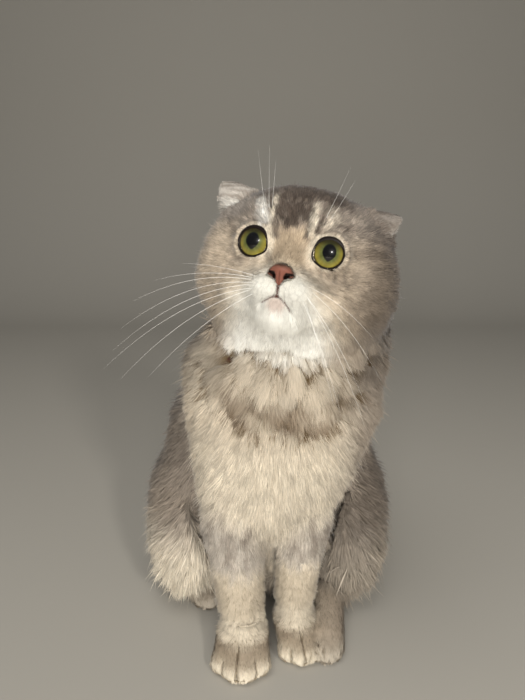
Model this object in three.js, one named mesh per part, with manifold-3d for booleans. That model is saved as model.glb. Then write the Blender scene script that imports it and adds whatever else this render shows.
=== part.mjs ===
// Scottish Fold cat, seated upright and looking up: a still model at life size.
//
// Millimetres, +Z up. The cat faces -Y and its left side is +X. The floor is z = 0.
// Each node is one closed body whose surface is the outside of the coat. The large forms are masses
// that melt into one another; a three.js geometry is draped over them, ray by ray, and then cut from
// its neighbours by a thin gap. The head is built in its own turned frame, with its ears and eyes.

import * as THREE from "three";
import { mergeVertices } from "three/addons/utils/BufferGeometryUtils.js";
import Module from "manifold-3d";

const wasm = await Module();
wasm.setup();

// Driving sizes

const GAP = 0.3; // left between touching nodes
const MELT = 9; // how softly the body's masses run together
const FACE_MELT = 3.2; // the same for the small forms of the face
const LID_MELT = 1.2; // and for the eyelids

const HEAD_CENTRE = [18, 6, 281];
const HEAD_UP_DEG = 15; // nose raised above level
const HEAD_TURN_DEG = -11; // towards the cat's right
const HEAD_ROLL_DEG = 8; // its left ear is lower

const EYE_RADIUS = 11.2;
const EYE_SIDE = 20.7; // from the middle of the face
const EYE_FORWARD = 31.5;
const EYE_UP = 4;
const EYE_SPLAY_DEG = 9; // each eye looks a little outwards
const LID = 1.5; // how far the lids stand out from the eyeball
const OPENING_WIDE = 18;
const OPENING_HIGH = 16.8;
const NOSE_SIDE = -1; // the nose and mouth sit a little to the cat's right

const EARS = {
  right: { root: [-42, 6, 36.5], riseDeg: 21, wide: 33 }, // held a little higher than the other
  left: { root: [37.5, 6, 32], riseDeg: 12, wide: 38 },
};
const EAR_CURL = 4; // the rims turn in under the fold
const EAR_THICK = 3;

const LEG_TOP = 124; // where each foreleg meets the chest
const WRIST = 34; // where each forepaw starts

// Small helpers

const point = ([x, y, z]) => new THREE.Vector3(x, y, z);
const radians = THREE.MathUtils.degToRad;

function turned(xDeg, yDeg, zDeg, order = "ZXY") {
  const euler = new THREE.Euler(radians(xDeg), radians(yDeg), radians(zDeg), order);
  return new THREE.Quaternion().setFromEuler(euler);
}

// Masses: each is a function from a point to its distance outside the surface

function ball(centre, radii, turn = new THREE.Quaternion()) {
  const middle = point(centre);
  const size = point(radii);
  const back = turn.clone().invert();
  const p = new THREE.Vector3();
  return (q) => {
    p.copy(q).sub(middle).applyQuaternion(back).divide(size);
    const near = p.length();
    const slope = p.divide(size).length();
    return slope < 1e-9 ? -Math.min(...radii) : (near * (near - 1)) / slope;
  };
}

function limb(start, startRadius, end, endRadius) {
  const a = point(start);
  const along = point(end).sub(a);
  const p = new THREE.Vector3();
  return (q) => {
    p.copy(q).sub(a);
    const t = THREE.MathUtils.clamp(p.dot(along) / along.lengthSq(), 0, 1);
    return p.addScaledVector(along, -t).length() - THREE.MathUtils.lerp(startRadius, endRadius, t);
  };
}

function melted(softness, masses) {
  return (q) => {
    let sum = 0;
    for (const mass of masses) sum += Math.exp(-mass(q) / softness);
    return -softness * Math.log(sum);
  };
}

const mirrored = (make) => [-1, 1].flatMap((side) => make(side));

// The head's masses, in the head's own frame: +X the cat's left, -Y forwards, +Z up

const eyeCentre = (side) => [side * EYE_SIDE, -EYE_FORWARD, EYE_UP];

const skull = melted(MELT, [
  ball([0, 10, 6], [44, 40, 37]), // cranium
  ball([0, -8, 17], [29, 22, 21]), // forehead
  ball([0, 12, -22], [38, 34, 24]), // throat and back of the jaw
  ...mirrored((side) => [
    ball([side * 33.5, 3, -13], [26, 28, 26]), // jowl
    ball([side * 37, 5, 0], [12.5, 19, 17]), // temple
    limb([side * 24, 8, 22], 14, [side * 36, 8, 26], 9), // root of the ear
  ]),
]);

const flesh = melted(FACE_MELT, [
  skull,
  limb([0, -22, 8], 12, [0, -41, -7], 7), // bridge of the nose
  ball([0, -33, -33], [15, 11, 9]), // chin
  ...mirrored((side) => [
    ball([side * 9.5, -40, -20], [11, 10.5, 8.5]), // whisker pad
    ball([side * 22, -25, -21], [17, 15, 14]), // cheek behind the pad
    ball([side * 20, -23, 15], [14, 10, 7]), // brow
  ]),
]);

const lid = (side) => ball(eyeCentre(side), [EYE_RADIUS + LID, EYE_RADIUS + LID, EYE_RADIUS + LID]);
const headMass = melted(LID_MELT, [flesh, ...mirrored((side) => [lid(side)])]);

const headFrame = new THREE.Matrix4().compose(
  point(HEAD_CENTRE),
  turned(-HEAD_UP_DEG, HEAD_ROLL_DEG, HEAD_TURN_DEG),
  new THREE.Vector3(1, 1, 1),
);
const intoHead = headFrame.clone().invert();

function seenFromHead(mass) {
  const p = new THREE.Vector3();
  return (q) => mass(p.copy(q).applyMatrix4(headFrame));
}

function seenFromBody(mass) {
  const p = new THREE.Vector3();
  return (q) => mass(p.copy(q).applyMatrix4(intoHead));
}

// The body's masses

const neckMasses = [
  limb([15, 26, 262], 34, [10, 42, 212], 44),
  ball([11, 33, 212], [65, 45, 32]), // ruff
  ball([48, 38, 230], [34, 36, 32]), // coat that the turned head pushes out on the left
];

const chestMasses = [
  ball([11, 26, 182], [56, 42, 42]),
  ball([6, 24, 146], [46, 40, 40]),
  ball([0, 12, 116], [28, 20, 34]), // tuft between the forelegs
  limb([-32, 26, 186], 22, [-29, 15, 118], 20.5), // right shoulder
  limb([54, 28, 176], 23, [35, 20, 122], 19.5), // left shoulder
];

const trunkMasses = [
  ball([6, 78, 176], [66, 56, 50]), // withers
  ball([1, 106, 132], [85, 67, 56]), // back and belly
  ball([0, 122, 66], [76, 66, 56]), // rump
  ball([0, 54, 54], [38, 37, 52]), // belly behind the forelegs
];

const haunchMasses = mirrored((side) => [
  ball([side * 66, 92, 64], [37, 56, 56]), // thigh
  ball([side * 65, 48, 50], [25, 34, 36]), // knee
  ball([side * 54, 118, 24], [34, 44, 22]), // hock and seat
]);

const body = melted(MELT, [...chestMasses, ...trunkMasses, ...haunchMasses, ...neckMasses]);
const upper = melted(MELT, [...chestMasses, ...neckMasses, seenFromBody(headMass), trunkMasses[0]]);

// Draping: every vertex of a sphere or capsule runs out along its ray to the surface

const STEPS = 70;

function distanceOut(field, centre, way, reach, swell) {
  const p = new THREE.Vector3();
  const at = (r) => field(p.copy(centre).addScaledVector(way, r)) - swell;
  const stride = reach / STEPS;
  let far = stride;
  while (far < reach && at(far) < 0) far += stride;
  if (far >= reach) return reach;
  let near = far - stride;
  for (let i = 0; i < 16; i++) {
    const middle = (near + far) / 2;
    if (at(middle) < 0) near = middle;
    else far = middle;
  }
  return far;
}

function reshaped(geometry, move) {
  const { position } = geometry.attributes;
  const p = new THREE.Vector3();
  for (let i = 0; i < position.count; i++) {
    move(p.fromBufferAttribute(position, i));
    position.setXYZ(i, p.x, p.y, p.z);
  }
  return geometry;
}

// A ball geometry of 20 (detail + 1)^2 faces, closer together on the side that `lean` points to.
function drapedBall(detail, centre, field, reach, swell = 0, lean = [0, 0, 0]) {
  const middle = point(centre);
  const shift = point(lean);
  const way = new THREE.Vector3();
  return reshaped(new THREE.IcosahedronGeometry(1, detail), (p) => {
    way.copy(p).normalize().add(shift).normalize();
    p.copy(middle).addScaledVector(way, distanceOut(field, middle, way, reach, swell));
  });
}

// A capsule that follows a spine. `side` is a direction that the spine never runs along.
function drapedCapsule({ spine, side, around, lengthways, caps, field, reach, swell = 0 }) {
  const curve = new THREE.CatmullRomCurve3(spine.map(point));
  const across = point(side);
  const [along, out, up, way] = Array.from({ length: 4 }, () => new THREE.Vector3());
  const centre = new THREE.Vector3();
  const half = 0.5;
  return reshaped(new THREE.CapsuleGeometry(1, 2 * half, caps, around, lengthways), (p) => {
    const t = THREE.MathUtils.clamp(p.y + half, 0, 1);
    const cap = p.y - THREE.MathUtils.clamp(p.y, -half, half);
    curve.getPointAt(t, centre);
    curve.getTangentAt(t, along);
    out.copy(across).addScaledVector(along, -across.dot(along)).normalize();
    up.crossVectors(along, out);
    way.set(0, 0, 0).addScaledVector(out, p.x).addScaledVector(up, -p.z).addScaledVector(along, cap);
    way.normalize();
    p.copy(centre).addScaledVector(way, distanceOut(field, centre, way, reach, swell));
  });
}

// Solids

function solid(geometry) {
  const bare = geometry.clone();
  for (const name of ["normal", "uv"]) bare.deleteAttribute(name);
  const merged = mergeVertices(bare, 1e-3);
  const corners = merged.index.array;
  const faces = [];
  for (let i = 0; i < corners.length; i += 3) {
    const [a, b, c] = corners.slice(i, i + 3);
    if (a !== b && b !== c && c !== a) faces.push(a, b, c);
  }
  const made = new wasm.Manifold(
    new wasm.Mesh({
      numProp: 3,
      vertProperties: new Float32Array(merged.attributes.position.array),
      triVerts: new Uint32Array(faces),
    }),
  );
  if (made.volume() < 0) throw new Error("a surface is inside out");
  return made;
}

const joined = (solids) => solids.reduce((all, one) => all.add(one));
const without = (from, cutters) => cutters.reduce((left, cutter) => left.subtract(cutter), from);

// Keeps the side that `normal` points to, half a gap back from the plane.
function kept(from, place, normal) {
  const way = point(normal).normalize();
  return from.trimByPlane(way.toArray(), way.dot(point(place)) + GAP / 2);
}

const onFloor = (from) => from.trimByPlane([0, 0, 1], 0);

function largest(from) {
  return from.decompose().reduce((best, one) => (one.volume() > best.volume() ? one : best));
}

function mesh(name, from, material) {
  const { numProp, numVert, vertProperties, triVerts } = largest(from).getMesh();
  const places = new Float32Array(numVert * 3);
  for (let i = 0; i < numVert; i++) {
    places.set(vertProperties.subarray(i * numProp, i * numProp + 3), i * 3);
  }
  const geometry = new THREE.BufferGeometry();
  geometry.setAttribute("position", new THREE.BufferAttribute(places, 3));
  geometry.setIndex(new THREE.BufferAttribute(triVerts, 1));
  geometry.computeVertexNormals();
  const made = new THREE.Mesh(geometry, material);
  made.name = name;
  return made;
}

// Materials

const material = (color, roughness) => new THREE.MeshStandardMaterial({ color, roughness, metalness: 0 });
const coatGrey = material(0xa59a8c, 0.95);
const coatPale = material(0xd8cbb6, 0.95);
const earFelt = material(0xc3bdb5, 0.95);
const iris = material(0xa8a034, 0.15);
const noseLeather = material(0xa4604f, 0.55);

// Where the nodes part: a place on each plane and the way to the upper or outer side

const jawPlane = { place: [15, 22, 243], normal: [0, -0.36, 0.93] };
const collarPlane = { place: [10, 45, 203], normal: [0, -0.3, 0.95] };
const girthPlane = { place: [0, 46, 100], normal: [0, 0.94, -0.34] };
const flankPlane = (side) => ({ place: [side * 76, 95, 112], normal: [side * 0.93, -0.15, -0.33] });
const opposite = (normal) => normal.map((n) => -n);

// Eyes: a ball with the cornea's bulge, turned out a little and set in a socket

const CORNEA_RISE = 1.1;
const CORNEA_DEG = 48;

function eyeball(side, swell) {
  const radius = EYE_RADIUS + swell;
  const rows = 10;
  const profile = Array.from({ length: rows + 1 }, (_, i) => {
    const angle = (Math.PI * i) / rows;
    const bulge = Math.max(0, 1 - angle / radians(CORNEA_DEG));
    const r = radius + CORNEA_RISE * Math.sin((bulge * Math.PI) / 2) ** 2;
    const rim = i === 0 || i === rows;
    return new THREE.Vector2(rim ? 0 : r * Math.sin(angle), -r * Math.cos(angle));
  });
  const geometry = new THREE.LatheGeometry(profile, 20);
  geometry.applyQuaternion(turned(0, 0, side * EYE_SPLAY_DEG));
  geometry.translate(...eyeCentre(side));
  return solid(geometry);
}

// The opening between the lids: a round funnel that widens forwards
function lidOpening(side) {
  const depth = 16;
  const flare = 1.15;
  const geometry = new THREE.CylinderGeometry(flare, 1, depth, 22);
  geometry.scale(OPENING_WIDE / 2, 1, OPENING_HIGH / 2);
  geometry.rotateZ(Math.PI);
  geometry.translate(0, -depth / 2 - EYE_RADIUS * 0.45, 0);
  geometry.applyQuaternion(turned(4, 0, side * EYE_SPLAY_DEG));
  geometry.translate(...eyeCentre(side));
  return solid(geometry);
}

// Nose leather: two wings and a tapering middle, with a nostril under each wing

const NOSE = [NOSE_SIDE, -49.5, -12];
const noseField = melted(1.2, [
  ball([NOSE_SIDE, -47.6, -9.8], [5.2, 4, 2.6]),
  limb([NOSE_SIDE, -49.4, -11], 2.6, [NOSE_SIDE, -48.6, -18], 1.4),
  ...mirrored((side) => [ball([NOSE_SIDE + side * 5, -46.8, -12.8], [2.8, 3.6, 2.4])]),
]);
const nostrils = mirrored((side) =>
  solid(
    new THREE.SphereGeometry(1, 12, 8)
      .scale(2.3, 2.6, 1.25)
      .applyQuaternion(turned(0, side * 24, 0))
      .translate(NOSE_SIDE + side * 4.6, -50.6, -14),
  ),
);
const nose = (swell) => solid(drapedBall(3, NOSE, noseField, 14, swell));

// Mouth: a line down from the nose that parts round the pads

function groove(places, width) {
  const route = new THREE.CatmullRomCurve3(places.map(point));
  const section = new THREE.Shape();
  section.absarc(0, 0, width / 2, 0, 2 * Math.PI);
  const geometry = new THREE.ExtrudeGeometry(section, {
    extrudePath: route,
    steps: 7,
    curveSegments: 3,
    bevelEnabled: false,
  });
  return solid(geometry);
}

// A place on the head's surface, straight ahead of (x, z), sunk in by `depth`
function onFace(x, z, depth = 0) {
  const start = point([x, -18, z]);
  const ahead = distanceOut(headMass, start, point([0, -1, 0]), 60, 0);
  return [x, -18 - ahead + depth, z];
}

const mouth = joined([
  groove([-16.5, -20.5, -24.2].map((z) => onFace(NOSE_SIDE, z, 0.4)), 2),
  ...mirrored((side) =>
    groove(
      [
        [0, -23.6],
        [3.2, -24.6],
        [6.3, -26.6],
        [9.5, -29.6],
      ].map(([x, z]) => onFace(NOSE_SIDE + side * x, z, 0.4)),
      1.8,
    ),
  ),
]);

// Head

const LEAN_TO_FACE = [0, -0.42, -0.04];
const headField = seenFromHead(upper);

function headSolid(swell) {
  return solid(drapedBall(12, [0, 2, 0], headField, 110, swell, LEAN_TO_FACE));
}

function cutAtJaw(from, way) {
  const place = point(jawPlane.place).applyMatrix4(intoHead);
  const normal = point(way).transformDirection(intoHead);
  return kept(from, place.toArray(), normal.toArray());
}

// Ears: a leaf that rises from the skull, folds over along its ridge and hangs forwards

const EAR_PATH = new THREE.CatmullRomCurve3(
  [
    [0, 5, -14],
    [0, 6, -5],
    [0, 4, 3],
    [0, -1.5, 7],
    [0, -7.5, 6.5],
    [0, -11.5, 2],
    [0, -13.5, -3.5],
    [0, -14.5, -9],
  ].map(point),
);
const EAR_RIDGE_SHARE = 0.5; // how far along the leaf its ridge lies

function earLeaf({ root, riseDeg, wide }, side) {
  const leaf = new THREE.BoxGeometry(2, 1, 1, 10, 15, 1);
  const place = new THREE.Vector3();
  const along = new THREE.Vector3();
  const inwards = new THREE.Vector3();
  const across = new THREE.Vector3(1, 0, 0);
  reshaped(leaf, (p) => {
    const t = p.y + 0.5;
    const past = Math.max(0, (t - EAR_RIDGE_SHARE) / (1 - EAR_RIDGE_SHARE));
    const early = Math.min(1, t / EAR_RIDGE_SHARE);
    const width = (wide / 2) * (0.72 + 0.28 * early) * (1 - 0.6 * past ** 2.2);
    const drift = 5 * past; // the tip lies towards the outer corner
    const curl = EAR_CURL * p.x * p.x;
    EAR_PATH.getPointAt(t, place);
    EAR_PATH.getTangentAt(t, along);
    inwards.crossVectors(across, along);
    const thin = 1 - 0.45 * past;
    const x = p.x * width * (1 + 0.1 * Math.sin(Math.PI * t)) + drift;
    const depth = p.z * EAR_THICK * thin + curl;
    p.copy(place).addScaledVector(inwards, depth).setX(x);
  });
  if (side < 0) leaf.scale(-1, 1, 1);
  leaf.applyQuaternion(turned(0, -side * riseDeg, side * 12));
  leaf.translate(...root);
  if (side < 0) {
    const corners = leaf.index.array;
    for (let i = 0; i < corners.length; i += 3) {
      [corners[i], corners[i + 1]] = [corners[i + 1], corners[i]];
    }
  }
  return solid(leaf);
}

// Forelegs and forepaws

const forelegs = {
  right: {
    masses: [limb([-30, 17, 140], 21, [-25, 8, 96], 20.5), limb([-25, 8, 96], 20.5, [-20, -8, 38], 18)],
    spine: [
      [-31, 20, 150],
      [-28, 12, 115],
      [-23, 2, 75],
      [-20, -8, 38],
      [-20, -11, 24],
    ],
    paw: { centre: [-19, -26, 11.5], turnDeg: -3, wide: 1.1 },
  },
  left: {
    masses: [limb([35, 20, 140], 19.5, [26, 14, 96], 18.5), limb([26, 14, 96], 18.5, [20, 2, 38], 16)],
    spine: [
      [39, 24, 150],
      [31, 17, 115],
      [24, 10, 75],
      [20, 3, 38],
      [20, 0, 24],
    ],
    paw: { centre: [23, -12, 11.5], turnDeg: 16, wide: 0.94 },
  },
};

function forelegSolid({ masses, spine }, swell) {
  const field = melted(MELT / 2, masses);
  const draped = drapedCapsule({
    spine,
    side: [1, 0, 0],
    around: 18,
    lengthways: 12,
    caps: 2,
    field,
    reach: 40,
    swell,
  });
  return solid(draped);
}

// A paw: a rounded pad with four toes set side by side, the two middle ones longest
function pawSolid({ centre, turnDeg, wide = 1, long = 1 }, swell) {
  const back = ball([0, 8, 4], [15.5, 18, 12.5]);
  const wristMass = limb([0, 12, 8], 14.5, [0, 13, 34], 15);
  const toes = [-1.5, -0.5, 0.5, 1.5].map((place) => {
    const outer = Math.abs(place) > 1;
    const lead = outer ? -7 : -13;
    return limb([place * 7.5, 2, 1], 6, [place * 8.6, lead * long, -4.5], outer ? 7 : 7.4);
  });
  const frame = new THREE.Matrix4().compose(
    point(centre),
    turned(0, 0, turnDeg),
    new THREE.Vector3(wide, 1, 1),
  );
  const field = melted(2, [melted(3.5, [back, wristMass]), ...toes]);
  const draped = drapedBall(5, [0, 4, 2], field, 60, swell, [0, -0.3, -0.15]);
  return solid(draped.applyMatrix4(frame));
}

// Hind feet: long and low on the floor, with the toes beside the forepaws

const hindFeet = {
  right: { heel: [-60, 112, 11], toes: [-49, 34, 11] },
  left: { heel: [59, 96, 11], toes: [42, -18, 11] },
};

function hindFootSolid({ heel, toes }, swell) {
  const a = point(heel);
  const b = point(toes);
  const length = a.distanceTo(b);
  const turnDeg = THREE.MathUtils.radToDeg(Math.atan2(b.x - a.x, a.y - b.y));
  const pads = [-1.5, -0.5, 0.5, 1.5].map((place) => {
    const lead = Math.abs(place) > 1 ? -1 : -5;
    return limb([place * 4.8, 14, 1], 6, [place * 5.6, lead, -5], 6.2);
  });
  const field = melted(2.2, [
    limb([0, length, 3], 15, [0, 40, 8], 14),
    limb([0, 40, 6], 13.5, [0, 14, 2], 11.5),
    ...pads,
  ]);
  const draped = drapedCapsule({
    spine: [
      [0, length, 2],
      [0, length / 2, 3],
      [0, 6, -1],
    ],
    side: [1, 0, 0],
    around: 16,
    lengthways: 9,
    caps: 4,
    field,
    reach: 40,
    swell,
  });
  const frame = new THREE.Matrix4().compose(b, turned(0, 0, turnDeg), new THREE.Vector3(1, 1, 1));
  return solid(draped.applyMatrix4(frame));
}

// Thighs, trunk, chest and neck

function thighSolid(side) {
  return solid(drapedBall(5, [side * 64, 82, 54], body, 110));
}

function trunkSolid() {
  const draped = drapedCapsule({
    spine: [
      [6, 72, 196],
      [3, 92, 140],
      [0, 106, 66],
    ],
    side: [1, 0, 0],
    around: 34,
    lengthways: 12,
    caps: 6,
    field: body,
    reach: 150,
  });
  return solid(draped);
}

function chestSolid() {
  return solid(drapedBall(7, [8, 26, 158], body, 150, 0, [0, -0.2, -0.1]));
}

function neckSolid() {
  const draped = drapedCapsule({
    spine: [
      [12, 38, 192],
      [13, 26, 224],
      [15, 18, 256],
    ],
    side: [1, 0, 0],
    around: 36,
    lengthways: 8,
    caps: 2,
    field: upper,
    reach: 120,
  });
  return solid(draped);
}

// Tail: on the floor behind the cat, curling to its left, in three lengths

const TAIL = new THREE.CatmullRomCurve3(
  [
    [0, 168, 34],
    [-10, 200, 22],
    [-14, 238, 17],
    [4, 270, 15.5],
    [42, 284, 15],
    [80, 268, 14.5],
    [98, 236, 14],
  ].map(point),
);
const TAIL_THICK = { root: 19, middle: 17, tip: 13.5 };
const TAIL_CUTS = [0.4, 0.7];

function tailSolid(swell) {
  const around = 14;
  const lengthways = 22;
  const caps = 4;
  const half = 0.5;
  const [centre, along, out] = Array.from({ length: 3 }, () => new THREE.Vector3());
  const up = new THREE.Vector3(0, 0, 1);
  const draped = reshaped(new THREE.CapsuleGeometry(1, 2 * half, caps, around, lengthways), (p) => {
    const t = THREE.MathUtils.clamp(p.y + half, 0, 1);
    const cap = p.y - THREE.MathUtils.clamp(p.y, -half, half);
    const early = Math.min(1, 2 * t);
    const late = Math.max(0, 2 * t - 1);
    const radius =
      THREE.MathUtils.lerp(
        THREE.MathUtils.lerp(TAIL_THICK.root, TAIL_THICK.middle, early),
        TAIL_THICK.tip,
        late,
      ) + swell;
    TAIL.getPointAt(t, centre);
    TAIL.getTangentAt(t, along);
    out.crossVectors(along, up).normalize();
    const rise = new THREE.Vector3().crossVectors(out, along);
    const { x, z } = p;
    p.copy(centre)
      .addScaledVector(out, radius * x)
      .addScaledVector(rise, radius * z)
      .addScaledVector(along, radius * cap * (t > half ? 1.5 : 1));
  });
  return solid(draped);
}

function tailPlane(share) {
  return { place: TAIL.getPointAt(share).toArray(), normal: TAIL.getTangentAt(share).toArray() };
}

// Assembly

const cat = new THREE.Group();
const head = new THREE.Group();
head.applyMatrix4(headFrame);
cat.add(head);

const sides = { right: -1, left: 1 };

const headWhole = headSolid(0);
const headSwollen = headSolid(GAP);
const eyes = { right: eyeball(-1, 0), left: eyeball(1, 0) };
const ears = { right: earLeaf(EARS.right, -1), left: earLeaf(EARS.left, 1) };
const headCut = without(cutAtJaw(headWhole, jawPlane.normal), [
  eyeball(-1, GAP),
  eyeball(1, GAP),
  lidOpening(-1),
  lidOpening(1),
  nose(GAP),
  mouth,
]);
head.add(mesh("head", headCut, coatGrey));
head.add(mesh("nose", without(nose(0), nostrils), noseLeather));
for (const name of ["right", "left"]) {
  head.add(mesh(`eye_${name}`, eyes[name], iris));
  head.add(mesh(`ear_${name}`, ears[name].subtract(headSwollen), earFelt));
}

const forelegGap = {};
const footGap = {};
for (const name of ["right", "left"]) {
  const leg = forelegs[name];
  const wristPlace = [0, 0, WRIST];
  const down = [0, 0, -1];
  const upwards = [0, 0, 1];
  const whole = forelegSolid(leg, 0);
  const swollen = forelegSolid(leg, GAP);
  const column = kept(kept(whole, [0, 0, LEG_TOP], down), wristPlace, upwards);
  const paw = onFloor(kept(pawSolid(leg.paw, 0), wristPlace, down));
  cat.add(mesh(`foreleg_${name}`, column, coatGrey));
  cat.add(mesh(`forepaw_${name}`, paw, coatPale));
  const top = swollen.trimByPlane(down, -(LEG_TOP + GAP / 2));
  forelegGap[name] = joined([top, pawSolid(leg.paw, GAP).trimByPlane(down, -WRIST)]);
}
for (const name of ["right", "left"]) {
  const foot = onFloor(hindFootSolid(hindFeet[name], 0));
  cat.add(mesh(`hind_foot_${name}`, without(foot, Object.values(forelegGap)), coatPale));
  footGap[name] = hindFootSolid(hindFeet[name], GAP);
}
const limbGaps = [...Object.values(forelegGap), ...Object.values(footGap)];

for (const name of ["right", "left"]) {
  const { place, normal } = flankPlane(sides[name]);
  const thigh = onFloor(kept(thighSolid(sides[name]), place, normal));
  cat.add(mesh(`thigh_${name}`, without(thigh, limbGaps), coatGrey));
}

const belowCollar = (from) => kept(from, collarPlane.place, opposite(collarPlane.normal));
const betweenThighs = (from) =>
  [-1, 1].map(flankPlane).reduce((left, { place, normal }) => kept(left, place, opposite(normal)), from);
const trunk = betweenThighs(belowCollar(onFloor(trunkSolid())));
const torso = kept(trunk, girthPlane.place, girthPlane.normal);
cat.add(mesh("torso", without(torso, limbGaps), coatGrey));
const chest = kept(
  betweenThighs(belowCollar(chestSolid())),
  girthPlane.place,
  opposite(girthPlane.normal),
);
cat.add(mesh("chest", without(chest, limbGaps), coatGrey));

const neckTop = kept(neckSolid(), jawPlane.place, opposite(jawPlane.normal));
cat.add(mesh("neck", kept(neckTop, collarPlane.place, collarPlane.normal), coatGrey));

const tailCuts = TAIL_CUTS.map(tailPlane);
const tailWhole = onFloor(tailSolid(0)).subtract(trunkSolid());
const [first, second] = tailCuts;
const tailRoot = kept(tailWhole, first.place, opposite(first.normal));
const tailMiddle = kept(kept(tailWhole, first.place, first.normal), second.place, opposite(second.normal));
const tailTip = kept(tailWhole, second.place, second.normal);
cat.add(mesh("tail_root", tailRoot, coatGrey));
cat.add(mesh("tail_middle", tailMiddle, coatGrey));
cat.add(mesh("tail_tip", tailTip, coatGrey));

// The origin goes to the middle of the footprint.
const footprint = new THREE.Box3().setFromObject(cat, true);
const middle = footprint.getCenter(new THREE.Vector3());
cat.position.set(-middle.x, -middle.y, 0);

export default cat;
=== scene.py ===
# Scottish Fold cat, seated: skin, coat, eyes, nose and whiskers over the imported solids.
# The row's frame is in metres, +Z up, and the cat faces -Y with its left side at +X. The coat is
# measured in millimetres, in two frames of the cat's own: the body's, whose origin lies on the floor
# under the shoulders, and the head's, where -Y is the way the nose points.

import math
from collections import namedtuple

import bmesh
import bpy
import numpy as np
from mathutils import Euler, Matrix, Vector, kdtree


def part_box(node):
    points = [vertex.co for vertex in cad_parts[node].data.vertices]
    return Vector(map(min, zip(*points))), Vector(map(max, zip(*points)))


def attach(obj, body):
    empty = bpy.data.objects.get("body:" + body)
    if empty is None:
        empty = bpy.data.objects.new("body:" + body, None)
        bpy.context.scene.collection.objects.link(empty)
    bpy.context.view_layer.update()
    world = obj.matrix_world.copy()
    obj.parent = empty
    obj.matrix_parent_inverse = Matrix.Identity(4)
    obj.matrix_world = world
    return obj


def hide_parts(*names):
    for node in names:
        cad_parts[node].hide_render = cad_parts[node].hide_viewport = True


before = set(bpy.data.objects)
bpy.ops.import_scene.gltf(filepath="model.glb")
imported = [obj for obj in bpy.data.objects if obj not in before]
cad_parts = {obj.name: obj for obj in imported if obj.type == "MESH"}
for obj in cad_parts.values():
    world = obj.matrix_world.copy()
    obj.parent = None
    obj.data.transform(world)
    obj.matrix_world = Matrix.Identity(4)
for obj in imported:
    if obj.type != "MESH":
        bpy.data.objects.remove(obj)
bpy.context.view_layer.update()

MM = 0.001
SEED = 20
LEFT, RIGHT = 1, -1

# Head and eyes, as in the solids
HEAD_TURN = Euler((math.radians(-15), math.radians(8), math.radians(-11)), "YXZ")
HEAD_PLACE = (18, 6, 281)
EYE_PLACE = (20.7, -31.5, 4)  # the left eye's middle; the right one mirrors it
EYE_RADIUS = 11.2
EYE_SPLAY = 9  # degrees that each eye looks outward
GAZE = {LEFT: 0, RIGHT: 6}  # degrees that each eye looks further to the cat's left

# Camera of the photograph, in the body's frame
CAMERA_PLACE = (-4, -330, 320)
CAMERA_DOWN = math.radians(15.8)
LENS_MM = 27.05
SENSOR_MM = 36

# Skin
VOXEL = 1.35 * MM
FUSE = 0.35 * MM  # the nodes swell by this to close the cuts between them
FLOOR_GAP = 0.3 * MM  # nothing of the coat goes lower
FLESH = (
    "head ear_right ear_left neck chest torso thigh_right thigh_left foreleg_right foreleg_left "
    "forepaw_right forepaw_left hind_foot_right hind_foot_left tail_root tail_middle tail_tip"
).split()
PARTS = ("head", "ear", "neck", "chest", "torso", "thigh", "foreleg", "forepaw", "hind_foot", "tail")


def linear(hexcode):
    """An sRGB hex colour as linear red, green and blue."""
    parts = [int(hexcode[i : i + 2], 16) / 255 for i in (1, 3, 5)]
    return np.array([c / 12.92 if c <= 0.04045 else ((c + 0.055) / 1.055) ** 2.4 for c in parts])


def smooth(low, high, x):
    """0 at low and beyond it, 1 at high and beyond it, with a soft step between."""
    t = np.clip((x - low) / (high - low), 0, 1)
    return t * t * (3 - 2 * t)


def unit(v):
    return v / np.maximum(np.linalg.norm(v, axis=-1, keepdims=True), 1e-12)


def along(v, way):
    """How far each row of v reaches along the same row of way."""
    return np.sum(v * way, 1, keepdims=True)


def flattened(v, normals):
    """The part of each row of v that lies square to its normal."""
    return v - normals * along(v, normals)


def mix(a, b, share):
    """a where share is 0 and b where it is 1."""
    return a + (b - a) * np.asarray(share, float)[:, None]


def washed(tint, *layers):
    """Lays colours over a tint, each with its share of every place."""
    for shade, share in layers:
        tint = mix(tint, shade, share)
    return tint


def by_part(share, **values):
    """Blends one value for each part of the cat."""
    return sum(share[part] * value for part, value in values.items())


def wander(places, size, seed):
    """A smooth number from about -1 to 1 that changes over about size, the same each time."""
    rng = np.random.default_rng(seed)
    total = np.zeros(len(places))
    for _ in range(7):
        way = unit(rng.normal(size=places.shape[1]))
        total += np.sin(places @ way * rng.uniform(2.0, 5.0) / size + rng.uniform(0, 2 * math.pi))
    return total / 3


def from_line(points, line):
    """For each stretch of a line: the way to each point from the stretch's nearest spot, and the stretch."""
    for a, b in zip(line, line[1:]):
        t = np.clip((points - a) @ (b - a) / ((b - a) @ (b - a)), 0, 1)
        yield points - a - t[:, None] * (b - a), b - a


def shortest(ways):
    return np.min([np.linalg.norm(way, axis=1) for way in ways], axis=0)


def distance_to_line(x, z, line):
    return shortest(way for way, _ in from_line(np.stack([x, z], 1), np.array(line, float)))


def place_object(name, mesh, material=None):
    made = bpy.data.objects.new(name, mesh)
    bpy.context.scene.collection.objects.link(made)
    if material:
        mesh.materials.clear()
        mesh.materials.append(material)
    return made


def mesh_object(name, points, faces, material):
    mesh = bpy.data.meshes.new(name)
    mesh.from_pydata([tuple(p) for p in points], [], [tuple(f) for f in faces])
    mesh.update()
    mesh.shade_smooth()
    return place_object(name, mesh, material)


def ring_faces(rings, columns):
    """Quads between closed rings of points, ring after ring."""
    faces = []
    for low in range(0, (rings - 1) * columns, columns):
        for c in range(columns):
            d = (c + 1) % columns
            faces.append((low + c, low + d, low + columns + d, low + columns + c))
    return faces


def rows_of(items, key, width=3, kind=float):
    """What a mesh keeps under a key for its vertices, edges or triangles, in rows."""
    found = np.empty(len(items) * width, kind)
    items.foreach_get(key, found)
    return found.reshape(-1, width)


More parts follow.
